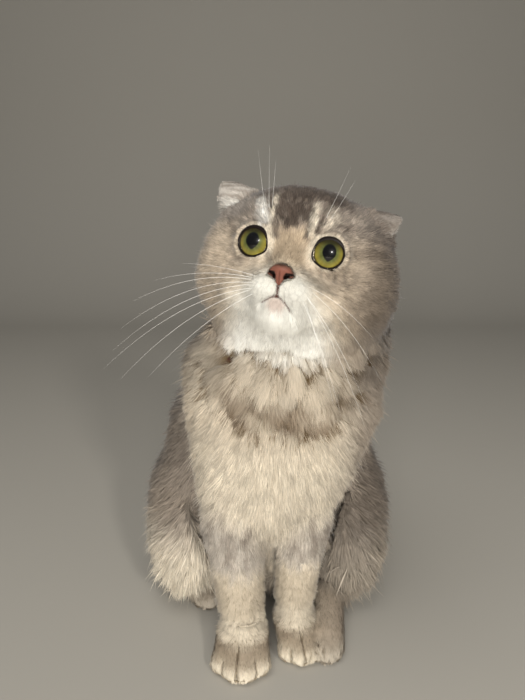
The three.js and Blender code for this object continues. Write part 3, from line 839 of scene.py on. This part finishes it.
def body_tint(body, share):
    """Colour below the head."""
    x, y, z = body[:, 0] - 8, body[:, 1], body[:, 2]
    leg, paw, thigh = share["foreleg"], share["forepaw"], share["thigh"]
    feet = paw + share["hind_foot"]
    cloud = wander(body, 22, 31)
    streak = wander(body * (1, 1, 0.25), 4, 32)
    front = smooth(45, 5, y)
    breast = smooth(70, 44, np.abs(x + 6)) * front
    reach = from_ruff_top(body)[2]
    # painted shade under the ruff's last locks, in a band across the breast
    ruff_shade_band = smooth(42, 54, reach) * smooth(76, 62, reach) * smooth(50, 26, np.abs(x)) * front
    grey_side = smooth(62, 78, z) * smooth(150, 100, z) * smooth(8, 30, np.abs(x + 6) + 0.12 * z)
    grey_side = grey_side * np.clip(0.4 + 0.4 * streak, 0, 1) * np.clip(leg + 0.5 * breast, 0, 1)
    nape = (share["neck"] + share["chest"]) * smooth(15, 45, y)
    skirt = thigh * smooth(85, 45, z) * smooth(100, 40, y)
    return washed(
        WARM,
        (CREAM, 0.8 * breast * (1 - 0.35 * smooth(140, 180, z))),
        (SHADE_BELOW_RUFF, np.clip((0.6 + 0.4 * wander(body, 9, 33)) * ruff_shade_band, 0, 1)),
        # painted shade: the front of the cat's left side of the neck and shoulder is greyer, away from the
        # light
        (GREY, 0.8 * smooth(26, 58, x) * front),
        (ASH, 0.8 * leg * smooth(54, 74, z + 3 * streak)),
        (GREY, grey_side),
        (SAND, 0.9 * leg * smooth(74, 54, z + 3 * streak)),
        (CREAM, 0.45 * leg * smooth(40, 30, z)),
        (TAN, 0.8 * feet * smooth(5, 13, z)),
        (CREAM, 0.85 * feet * smooth(16, 5, z)),
        (SMOKE, 0.3 * paw * smooth(9, 16, z) * smooth(26, 20, z)),
        (GREY, 0.5 * share["hind_foot"]),
        (GREY, np.clip(thigh + share["torso"] + nape, 0, 1) * (0.85 + 0.1 * cloud)),
        (SMOKE, 0.5 * smooth(20, 120, y + 70 * smooth(170, 215, z)) * smooth(60, 150, z)),
        # painted shade darkens the cat's left thigh, and the pale skirt fades towards that side under it
        (SMOKE, 0.45 * thigh * smooth(0, 40, x)),
        (CREAM, skirt * (0.8 - 0.6 * smooth(-10, 30, x))),
        (SMOKE, 0.35 * share["tail"]),
    )


def ear_tint(local, rim):
    """Ash grey ears with a pale rim; the right one is a little paler. Painted shade darkens the left one."""
    x, y, _ = local.T
    streak = wander(local * (0.3, 1, 1), 2.4, 21)
    return washed(
        ASH,
        (WHITE, 0.15 * smooth(0, -20, x)),
        (GREY, np.clip(0.2 + 0.7 * streak, 0, 0.75)),
        (WHITE, 0.75 * rim),
        (SMOKE, 0.6 * smooth(2, 9, y) * (1 - rim)),
        (SMOKE, 0.5 * smooth(0, 10, x) * (1 - 0.6 * rim)),
    )


def ear_rim(surface, normals, share):
    """How much each place lies on the thin edge of an ear."""
    bulge = along(surface.points - surface.averaged(surface.points), normals)[:, 0] / MM
    rim = smooth(0.06, 0.2, bulge) * smooth(0.6, 0.9, share["ear"])
    return surface.spread(rim[:, None], 2)[:, 0]


def coat_tint(local, body, share, rim):
    own = np.clip(share["head"] + share["ear"], 0, 1)
    face = mix(head_tint(local), ear_tint(local, rim), share["ear"] / np.maximum(own, 1e-6))
    return mix(body_tint(body, share), face, own)


def bare_places(local, body):
    """0 where no hair grows: lid margins, lips, nose leather and soles."""
    cover = smooth(0.15, 0.7, beyond_lids(local)) * smooth(0.6, 0.3, mouth_share(local))
    nose = np.hypot((local[:, 0] - NOSE_MIDDLE) / 1.4, local[:, 2] + 12)
    cover *= np.where(local[:, 1] < -40, smooth(3.4, 4.4, nose), 1)
    return cover * smooth(0.6, 2.4, body[:, 2])


# Tufts


def cell_luck(cells, seed):
    """A number from 0 to 1 for each whole-number cell, the same each time."""
    mixed = np.sin(cells @ np.array([127.1, 311.7, 74.7]) + seed * 19.19) * 43758.5453
    return mixed - np.floor(mixed)


def nearest_clump(points, spacing, seed):
    """The nearest of a set of scattered points: its place, two numbers of its own, and how far inside
    its clump each point lies, from 0 at the border to 1 in the middle."""
    cell = np.floor(points / spacing)
    best = np.full(len(points), np.inf)
    second = np.full(len(points), np.inf)
    place = np.zeros_like(points)
    luck = np.zeros((len(points), 2))
    for step in np.ndindex(3, 3, 3):
        near = cell + np.array(step) - 1
        jitter = np.stack([cell_luck(near, seed + k) for k in range(3)], 1)
        middle = (near + jitter) * spacing
        distance = np.sum((middle - points) ** 2, 1)
        closer = distance < best
        second = np.where(closer, best, np.minimum(second, distance))
        best = np.where(closer, distance, best)
        place[closer] = middle[closer]
        luck[closer] = np.stack([cell_luck(near, seed + k) for k in (7, 8)], 1)[closer]
    return place, luck, 1 - np.sqrt(best / np.maximum(second, 1e-12))


class Ground:
    """The finished skin as triangles, to scatter hairs over."""

    def __init__(self, surface, normals, uv):
        mesh = surface.mesh
        mesh.calc_loop_triangles()
        self.corners = rows_of(mesh.loop_triangles, "vertices", kind=int)
        self.uv = uv[rows_of(mesh.loop_triangles, "loops", kind=int)]
        self.points, self.normals = surface.points, normals
        edges = self.points[self.corners[:, 1:]] - self.points[self.corners[:, :1]]
        self.areas = np.linalg.norm(np.cross(edges[:, 0], edges[:, 1]), axis=1) / 2

    def scatter(self, count, chance, rng):
        """count random places, more where chance, one number for each vertex, is high."""
        total = np.cumsum(self.areas * chance[self.corners].mean(1))
        chosen = np.searchsorted(total, rng.random(count) * total[-1])
        a, b = rng.random((2, count))
        flip = a + b > 1
        a, b = np.where(flip, 1 - a, a), np.where(flip, 1 - b, b)
        return chosen, np.stack([1 - a - b, a, b], 1)

    def at(self, chosen, blend, values):
        corners = values[self.corners[chosen]]
        return np.sum(corners * (blend if corners.ndim == 2 else blend[:, :, None]), 1)


# Each coat: number of hairs, width and clump spacing in mm, how far hairs gather to their clump, how
# dark the painted shade in the partings between clumps is, how bright the roots are, the share of stray
# hairs that stand out, and how loosely the others lie beside each other
Coat = namedtuple("Coat", "hairs wide clump gather parting root stray loose")
COATS = {
    "coat_face": Coat(235000, 0.4, 3.2, 0.3, 0.12, 0.8, 0.006, 0.95),
    "coat_ears": Coat(26000, 0.26, 2.0, 0.2, 0.05, 0.92, 0.004, 0.7),
    "coat_ruff": Coat(64000, 0.38, 5.0, 0.6, 0.8, 0.75, 0.006, 0.35),
    "coat_chest": Coat(108000, 0.47, 5.5, 0.4, 0.16, 0.84, 0.025, 0.75),
    "coat_back": Coat(136000, 0.76, 7.0, 0.4, 0.18, 0.7, 0.06, 1.0),
    "coat_legs": Coat(64000, 0.48, 4.5, 0.3, 0.1, 0.84, 0.03, 0.8),
    "coat_feet": Coat(58000, 0.38, 2.5, 0.2, 0.05, 0.9, 0.0, 0.7),
    "coat_tail": Coat(30000, 0.9, 6.0, 0.4, 0.18, 0.7, 0.05, 1.0),
}
BROWN_SHADE = np.array([0.92, 1.0, 1.1])  # light that comes out of the depth of the coat is browner
MOST_HAIRS = 90000  # in one piece
PATCH_CLUMPS = 3.3  # how many clumps wide a patch is whose hairs turn and darken together
BEND = 0.5  # where along its length each hair bends and is widest
PATCH = 0.003  # width of one hair's place on the unwrap
ALONG = np.array([0, BEND, BEND, 1])  # of each blade's corners: root, left, right and tip
BLADE = np.array([(0, 2, 1), (1, 2, 3)])


def grow(name, coat, ground, fields, material):
    """Builds the hairs of one coat as thin bent blades and returns its pieces."""
    rng = np.random.default_rng(SEED + sum(map(ord, name)))
    hairs = coat.hairs // 1
    chosen, blend = ground.scatter(hairs, fields[name] * fields["cover"], rng)

    def here(values):
        return ground.at(chosen, blend, values)

    root, normal, way = here(ground.points), unit(here(ground.normals)), here(fields["lie"])
    length, depth = here(fields["length"]) * MM, here(fields["depth"]) * MM
    crease, ticks = here(fields["crease"]), here(fields["ticking"])

    place, luck, inside = nearest_clump(root, coat.clump * MM, len(name))
    patch = nearest_clump(root, coat.clump * PATCH_CLUMPS * MM, len(name) + 40)[1] - 0.5
    way = unit(flattened(way, normal))
    across = np.cross(normal, way)
    gather = flattened(place - root, normal)
    overlap_shade = np.zeros(hairs)
    if name == "coat_ruff":
        off_middle, up_lock, luck, inside = ruff_locks(fields["to_body"](root))
        gather = -across * off_middle[:, None] * MM
        # painted shade on each lock of the ruff where the lock above lies over it
        overlap_shade = 0.45 * smooth(-0.2, -0.5, up_lock)
    bias, lush = luck[:, 0] - 0.5, luck[:, 1]
    turn = rng.normal(0, 0.13 * coat.loose, hairs) + (0.4 * bias + 0.35 * patch[:, 0]) * coat.loose
    way = way * np.cos(turn)[:, None] + across * np.sin(turn)[:, None]
    across = np.cross(normal, way)

    stray = rng.random(hairs) < coat.stray
    length *= rng.uniform(0.75, 1.15, hairs) * (0.85 + 0.3 * lush) * (1 - 0.4 * crease)
    length *= np.where(stray, 1.25, 1)
    rise = np.clip(1.1 * depth / length, 0.08, 0.8) * (0.8 + 0.4 * lush)
    rise *= rng.uniform(0.8, 1.25, hairs) * (1 - 0.6 * crease)
    rise = np.clip(np.where(stray, 1.8 * rise, rise), 0.05, 0.93)
    gather *= (coat.gather * np.where(stray, 0.2, 1))[:, None]

    half = coat.wide * MM / 2 * rng.uniform(0.75, 1.25, hairs) * np.where(stray, 0.6, 1)
    half *= np.clip(length / np.median(length), 0.6, 1.25) * 1
    half *= here(fields["fine"])
    roll = rng.normal(0, 0.5 * coat.loose, hairs)
    side = across * np.cos(roll)[:, None] + normal * np.sin(roll)[:, None]

    def spine(t):
        lift = rise * (1.5 * t - 0.5 * t * t) * length
        run = np.sqrt(np.clip(1 - rise**2, 0.1, 1)) * length * t
        return root + normal * lift[:, None] + way * run[:, None] + gather * t**1.5

    middle, width = spine(BEND), side * half[:, None]
    spots = np.stack([root - normal * 0.3 * MM, middle - width, middle + width, spine(1)], 1)
    spots[:, :, 2] = np.maximum(spots[:, :, 2], FLOOR_GAP)

    # ticked hairs: dark at the root, paler through the middle, some with a dark tip. The dark roots are
    # the hair's own ticking and also painted shade deep in the coat.
    own = rng.normal(0, 0.13 * coat.loose, hairs) + 0.2 * (lush - 0.5) + 0.14 * patch[:, 1]
    some = np.clip(ticks, 0, 1)
    dark_tip = (rng.random(hairs) < 0.25) * rng.uniform(0.2, 0.55, hairs) * some
    bright = 1.1 - np.outer((1 - coat.root) * some, smooth(0.6, 0.0, ALONG))
    bright *= np.exp(own * ticks)[:, None] * (1 - np.outer(dark_tip, smooth(0.45, 1.0, ALONG)))
    # painted shade, browner in the depth: in creases, under the lock above and in the partings between
    # clumps
    painted_shade = np.outer(0.75 * crease + overlap_shade, 1 - 0.5 * smooth(0.3, 1.0, ALONG))
    painted_shade = 1 - (1 - painted_shade) * (1 - coat.parting * smooth(0.24, 0.02, inside))[:, None]
    shown = here(fields["tint"])[:, None, :] * bright[:, :, None]
    shown *= 1 - np.clip(painted_shade[:, :, None] * BROWN_SHADE, 0, 0.95)

    uv = np.sum(ground.uv[chosen] * blend[:, :, None], 1)
    front = np.cross(side, way)
    turned = along(front, normal) < 0
    shading = unit(normal * 0.7 + unit(np.where(turned, -front, front)) * 0.3)
    pieces = []
    for first in range(0, hairs, MOST_HAIRS):
        part = slice(first, first + MOST_HAIRS)
        label = name if hairs <= MOST_HAIRS else f"{name}_{first // MOST_HAIRS + 1}"
        arrays = [found[part] for found in (spots, shown, uv, shading, turned)]
        pieces.append(blades(label, *arrays, material))
    return pieces


def blades(name, spots, shown, uv, normals, turned, material):
    """A mesh of separate blades. spots is (hair, corner, xyz)."""
    hairs, corners, _ = spots.shape
    order = np.where(turned[:, :, None], BLADE[:, ::-1][None], BLADE[None])
    index = order + (np.arange(hairs) * corners)[:, None, None]
    mesh = bpy.data.meshes.new(name)
    mesh.vertices.add(hairs * corners)
    mesh.vertices.foreach_set("co", spots.astype(np.float32).ravel())
    mesh.loops.add(index.size)
    mesh.loops.foreach_set("vertex_index", index.astype(np.int32).ravel())
    mesh.polygons.add(index.size // 3)
    mesh.polygons.foreach_set("loop_start", np.arange(0, index.size, 3, dtype=np.int32))
    mesh.update(calc_edges=True)
    mesh.shade_smooth()
    paint(mesh, "coat_tint", shown.reshape(-1, 3))
    own_spot = np.stack([np.array([0, -0.5, 0.5, 0]), ALONG - 0.5], 1) * PATCH
    corner_uv = (uv[:, None, :] + own_spot[None]).reshape(-1, 2)[index.ravel()]
    layer = mesh.uv_layers.new(name="OFBake")
    layer.data.foreach_set("uv", corner_uv.astype(np.float32).ravel())
    mesh.normals_split_custom_set_from_vertices(np.repeat(normals, corners, 0))
    return place_object(name, mesh, material)


# Eyes, lids, nose and whiskers

PUPIL_HALF = (3.8, 4.8)
LIMBUS = 8.3  # radius where the iris ends
CORNEA_BULGE = 1.0
CORNEA_HALF = math.radians(48)  # how far round the eyeball from its axis the cornea reaches
NOSE_VOXEL = 0.25 * MM


def side_name(stem, side):
    return f"{stem}_left" if side == LEFT else f"{stem}_right"


def make_eye(side, frames, material):
    """The eyeball with its cornea's bulge; the iris and pupil are painted round its axis."""
    rows, columns = 90, 120
    angle = math.pi * (np.arange(1, rows) / rows)[:, None] ** 1.25
    turn = 2 * math.pi * np.arange(columns)[None] / columns
    out = np.sin(angle)
    rings = np.stack([out * np.cos(turn), -np.cos(angle) + 0 * turn, out * np.sin(turn)], 2)
    points = np.concatenate([rings.reshape(-1, 3), [(0, -1, 0), (0, 1, 0)]])
    faces = [quad[::-1] for quad in ring_faces(rows - 1, columns)]
    last, poles = (rows - 2) * columns, (rows - 1) * columns
    for c in range(columns):
        d = (c + 1) % columns
        faces += [(poles, c, d), (last + c, poles + 1, last + d)]
    angle = np.arccos(np.clip(-points[:, 1], -1, 1))
    bulge = np.sin(np.clip(1 - angle / CORNEA_HALF, 0, 1) * math.pi / 2) ** 2
    own = points * (EYE_RADIUS - 0.05 + CORNEA_BULGE * bulge)[:, None]
    local = own @ eye_turn(side, GAZE[side]).T + eye_middle(side)
    made = mesh_object(side_name("eyeball", side), frames.from_head(local), faces, material)

    x, y, z = own.T
    radius = np.hypot(x, z)
    narrow = np.where(z < 0, 1 - 0.45 * (z / PUPIL_HALF[1]) ** 2, 1.0)
    pupil = np.hypot(x / (PUPIL_HALF[0] * np.clip(narrow, 0.3, 1)), z / PUPIL_HALF[1])
    # fibres of uneven length run out from the pupil
    around = np.arctan2(z, x)
    ray = np.stack([np.cos(around), np.sin(around), 0.02 * radius], 1)
    fibres = wander(ray, 0.12, 41) + 0.6 * wander(ray, 0.3, 42)
    clouds = wander(own[:, [0, 2]], 3.5, 43)
    tint = mix(linear("#857a30"), linear("#595d30"), smooth(7.4 + 0.5 * fibres, 4.2, radius))
    # the upper lid and its lashes shade the top
    tint *= ((1 + 0.13 * fibres + 0.1 * clouds) * (0.1 + 0.87 * smooth(6.4, 0.0, z)))[:, None]
    tint = washed(
        tint,
        (linear("#2c210d"), smooth(LIMBUS - 1.0, LIMBUS - 0.1, radius)),
        (linear("#050506"), smooth(1.06, 0.96, pupil)),
        (linear("#5b463c"), y > -5),
    )
    paint(made.data, "eye_tint", tint)
    return made


def make_lid_rim(side, frames, material):
    """The bare wet margin of the lids, from the eyeball over the edge to the fur."""
    columns = 96
    around = 2 * math.pi * np.arange(columns) / columns
    # distance from the opening's edge, as a share of the margin's width, and height above the eyeball
    rings = ((-0.5, 0.02), (-0.3, 0.3), (0.0, 0.6), (0.5, 0.9), (1.0, 1.0), (1.6, 0.85), (2.3, 0.2))
    points = []
    for share, above in rings:
        angle = opening_angle(around) + share * lid_margin(around) / EYE_RADIUS
        out = np.sin(angle)
        ring = np.stack([side * np.cos(around) * out, -np.cos(angle), np.sin(around) * out], 1)
        points.append(ring * (EYE_RADIUS + above))
    faces = ring_faces(len(rings), columns)
    if side == LEFT:
        faces = [quad[::-1] for quad in faces]
    local = np.concatenate(points) @ eye_turn(side).T + eye_middle(side)
    return mesh_object(side_name("lid_rim", side), frames.from_head(local), faces, material)


NOSE_MIDDLE = -1
# Middle line of each nostril, beside the nose's middle, from the column outward
NOSTRIL = ((3.3, -14.2), (4.0, -12.8), (6.2, -12.2), (9.0, -11.4))


def make_nose(node, frames, material):
    """The nose leather: a narrow column between two comma-shaped nostrils, grooved below."""
    mesh = remeshed(place_object("nose", node.data.copy()), NOSE_VOXEL, soften=8)
    mesh.shade_smooth()
    local = frames.head(places_of(mesh))
    x, z = np.abs(local[:, 0] - NOSE_MIDDLE), local[:, 2]
    # each nostril is wide beside the column and runs out as a thin line
    slit = distance_to_line(x, z, NOSTRIL) + 0.2 * np.clip(x - 3.6, 0, None)
    column = smooth(0.8, 0.0, x) * smooth(-10, -13, z)
    local[:, 1] += smooth(-44, -46, local[:, 1]) * (1.6 * smooth(1.6, 0.5, slit) + 0.5 * column)
    # the white coat of the muzzle covers the leather below the nostrils
    local[:, 1] += 2.6 * smooth(2.6, 4.2, x) * smooth(-13.4, -14.8, z)
    mesh.vertices.foreach_set("co", frames.from_head(local).ravel())
    tint = washed(
        linear("#7c4e40"),
        (linear("#6a473a"), smooth(-10.2, -8.4, z)),
        (linear("#3f2a22"), 0.9 * smooth(-8.8, -7.4, z + 0.5 * smooth(2.5, 0, x))),
        (linear("#5c352b"), 0.7 * column),
        (linear("#4d372d"), 0.85 * smooth(4.6, 7.0, x)),
        # painted shade: the nostrils are painted near black for the dark of their openings
        (linear("#140b09"), smooth(1.5, 0.9, slit)),
    )
    paint(mesh, "coat_tint", tint)
    return place_object("nose_leather", mesh, material)


def tube(spine, radii, sides=5):
    """Points and faces of a thin tapered tube along a spine, closed at both ends."""
    heading = unit(np.gradient(spine, axis=0))
    out = unit(np.cross(heading, np.array([0.12, 0.33, 0.94])))
    turn = 2 * math.pi * np.arange(sides)[None, :, None] / sides
    ring = np.cos(turn) * out[:, None] + np.sin(turn) * np.cross(out, heading)[:, None]
    points = (spine[:, None] + radii[:, None, None] * ring).reshape(-1, 3)
    faces = ring_faces(len(spine), sides)
    faces.append(tuple(range(sides))[::-1])
    faces.append(tuple(range(len(points) - sides, len(points))))
    return points, faces


# Whiskers of each side, in the head's frame: root across and up, degrees out and up from straight
# ahead, length and sag. The right ones stand out to the side, the left ones sweep down the cheek.
WHISKERS = {
    RIGHT: (
        ((12, -16), 88, 8, 46, 6),
        ((14, -17), 84, 3, 58, 14),
        ((15, -18), 82, 0, 68, 24),
        ((13, -19.5), 80, -4, 74, 34),
        ((15, -20.5), 82, -12, 78, 36),
        ((13, -22), 76, -16, 82, 38),
        ((15, -23), 80, -26, 76, 32),
        ((13, -24.5), 74, -36, 64, 20),
    ),
    LEFT: (
        ((12, -16), 100, -10, 44, 14),
        ((14, -17.5), 104, -24, 56, 20),
        ((12, -19), 96, -40, 62, 18),
        ((14, -20.5), 100, -46, 66, 18),
        ((12, -22), 92, -56, 60, 10),
        ((14, -23.5), 96, -60, 54, 8),
    ),
}
BROW_WHISKERS = {
    RIGHT: (((17, 22), 24, 70, 33, -5), ((18.5, 21), 34, 62, 32, -4), ((16, 24), 12, 74, 26, -3)),
    LEFT: (((15, 22), 40, 58, 30, -3), ((17, 21), 48, 52, 26, -3)),
}


def make_whiskers(frames, skin_front, material):
    points, faces = [], []
    t = np.linspace(0, 1, 15)[:, None]
    for groups, thick in ((WHISKERS, 0.11), (BROW_WHISKERS, 0.08)):
        for side, group in groups.items():
            for (x, z), out, up, length, sag in group:
                out, up = math.radians(out), math.radians(up)
                start = np.array([side * x, skin_front(side * x, z) + 1.0, z])
                level = math.cos(up)
                heading = np.array([side * math.sin(out) * level, -math.cos(out) * level, math.sin(up)])
                spine = start + heading * length * t + np.array([0, 0.3 * sag, -sag]) * t**2
                more, own = tube(frames.from_head(spine), thick * MM * (1 - 0.85 * t[:, 0]))
                faces += [tuple(i + len(points) for i in face) for face in own]
                points += list(more)
    return mesh_object("whiskers", points, faces, material)


# Assembly

# The tail's middle line from root to tip, in the body's frame
TAIL_ROUTE = (
    (0, 150, 40),
    (-10, 200, 22),
    (-14, 238, 17),
    (4, 270, 15),
    (42, 284, 15),
    (80, 268, 14),
    (98, 236, 14),
)


def tail_heading(points, frames):
    """The way from the tail's root to its tip, near each point."""
    best = np.full(len(points), 1e9)
    heading = np.zeros_like(points)
    for way, stretch in from_line(points, frames.from_body(TAIL_ROUTE)):
        distance = np.linalg.norm(way, axis=1)
        nearer = distance < best
        best = np.where(nearer, distance, best)
        heading[nearer] = unit(stretch)
    return heading


def softbox(name, middle, place, size, power, tone, in_eyes=False):
    """A square light that looks at middle from place, which is measured from there."""
    lamp = bpy.data.lights.new(name, "AREA")
    lamp.shape, lamp.size, lamp.energy, lamp.color = "SQUARE", size, power, tone
    made = bpy.data.objects.new(name, lamp)
    made.location = middle + Vector(place)
    made.rotation_euler = (-Vector(place)).to_track_quat("-Z", "Y").to_euler()
    made.visible_glossy = in_eyes
    bpy.context.scene.collection.objects.link(made)


def make_studio(frames):
    """A pale floor that curves up into the wall, soft lights and the camera."""
    bend = [(0.9 + 0.6 * math.sin(a), 0.6 - 0.6 * math.cos(a)) for a in np.linspace(0.1, math.pi / 2, 16)]
    profile = [(-4.0, 0.0), (0.9, 0.0), *bend, (1.5, 3.5)]
    points = [(x, y, z) for y, z in profile for x in (-4.0, 4.0)]
    faces = [(2 * i, 2 * i + 1, 2 * i + 3, 2 * i + 2) for i in range(len(profile) - 1)]
    mesh_object("studio_sweep", points, faces, studio_paint())
    eyes = Vector(frames.from_head((0, -35, 0)))
    softbox("key_light", eyes, (0.5, -1.0, 0.5), 0.14, 6, (1.0, 0.97, 0.92), in_eyes=True)
    softbox("front_light", eyes, (-0.1, -1.2, 0.05), 0.6, 15, (1.0, 0.99, 0.97))
    softbox("overhead", eyes, (-0.3, -0.4, 1.3), 1.0, 10, (1.0, 0.99, 0.97))
    world = bpy.data.worlds.new("studio")
    world.use_nodes = True
    sky = world.node_tree.nodes["Background"]
    sky.inputs["Color"].default_value = (0.80, 0.82, 0.85, 1)
    sky.inputs["Strength"].default_value = 0.17
    bpy.context.scene.world = world
    bpy.context.scene.view_settings.view_transform = "Standard"

    lens = bpy.data.cameras.new("camera")
    lens.lens, lens.sensor_width = LENS_MM, SENSOR_MM
    lens.clip_start, lens.clip_end = 0.01, 20
    camera = bpy.data.objects.new("camera", lens)
    camera.location = Vector(frames.from_body(CAMERA_PLACE))
    camera.rotation_euler = (math.pi / 2 - CAMERA_DOWN, 0, 0)
    bpy.context.scene.collection.objects.link(camera)
    bpy.context.scene.camera = camera


def make_coat(frames, nodes):
    """The skin with its coats, and the skin's places in the head's frame."""
    surface, normals, share, crease = make_skin(nodes, frames)
    skin = place_object("skin", surface.mesh, undercoat())
    ground = Ground(surface, normals, unwrap(skin))
    local, body = frames.head(surface.points), frames.body(surface.points)
    way = lie(surface.points, normals, frames, share, tail_heading(surface.points, frames))
    length = hair_length(local, body, share)
    rim = ear_rim(surface, normals, share)
    ticks = ticking(local, body, share)
    # the down is darker than the hairs, least where they are pale; painted shade darkens it further in the
    # creases
    down_tone_and_crease_shade = (1 - 0.38 * np.clip(ticks, 0, 1)) * (1 - 0.7 * crease)
    paint(skin.data, "coat_tint", coat_tint(local, body, share, rim) * down_tone_and_crease_shade[:, None])
    # a hair shows half a length further along its lie than its root
    shown = surface.points + way * (0.5 * length * MM)[:, None]
    # round the eyes and on the muzzle the hairs are finer and closer
    muzzle = smooth(-36, -42, local[:, 1]) * smooth(-6, -14, local[:, 2])
    round_eyes = np.exp(-np.clip(beyond_lids(local), 0, None) / 2.5)
    fine = share["head"] * np.maximum(muzzle, round_eyes)
    ruff = ruff_share(body, share)
    fields = {
        "lie": way,
        "length": length,
        "depth": coat_depth(local, share),
        "tint": coat_tint(frames.head(shown), frames.body(shown), share, rim),
        "ticking": ticks,
        "fine": 1 - 0.4 * fine,
        "crease": crease,
        "cover": bare_places(local, body) * (1 + 1.5 * fine),
        "to_body": frames.body,
        "coat_face": share["head"],
        "coat_ears": share["ear"],
        "coat_ruff": ruff,
        "coat_chest": share["neck"] + share["chest"] - ruff,
        "coat_back": share["torso"] + share["thigh"],
        "coat_legs": share["foreleg"],
        "coat_feet": share["forepaw"] + share["hind_foot"],
        "coat_tail": share["tail"],
    }
    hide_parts(*FLESH)
    pieces = [skin]
    hair = guard_hair()
    for name, coat in COATS.items():
        pieces += grow(name, coat, ground, fields, hair)
    return pieces, local


def dress(nodes):
    """Builds the cat's pieces over the frame."""
    frames = Frames()
    pieces, skin_places = make_coat(frames, nodes)
    eye_look, lid_look = living_eye(), wet_lid()
    for side in (LEFT, RIGHT):
        eye = make_eye(side, frames, eye_look)
        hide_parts(side_name("eye", side))
        pieces += [eye, make_lid_rim(side, frames, lid_look)]
    nose = make_nose(nodes["nose"], frames, nose_leather())
    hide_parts("nose")

    face = skin_places[skin_places[:, 1] < -15]

    def skin_front(x, z):
        """How far forward the skin lies at a place of the face seen from the front."""
        return face[np.argmin((face[:, 0] - x) ** 2 + (face[:, 2] - z) ** 2), 1]

    pieces += [nose, make_whiskers(frames, skin_front, whisker_bristle())]
    for piece in pieces:
        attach(piece, "root")
    make_studio(frames)


dress(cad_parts)
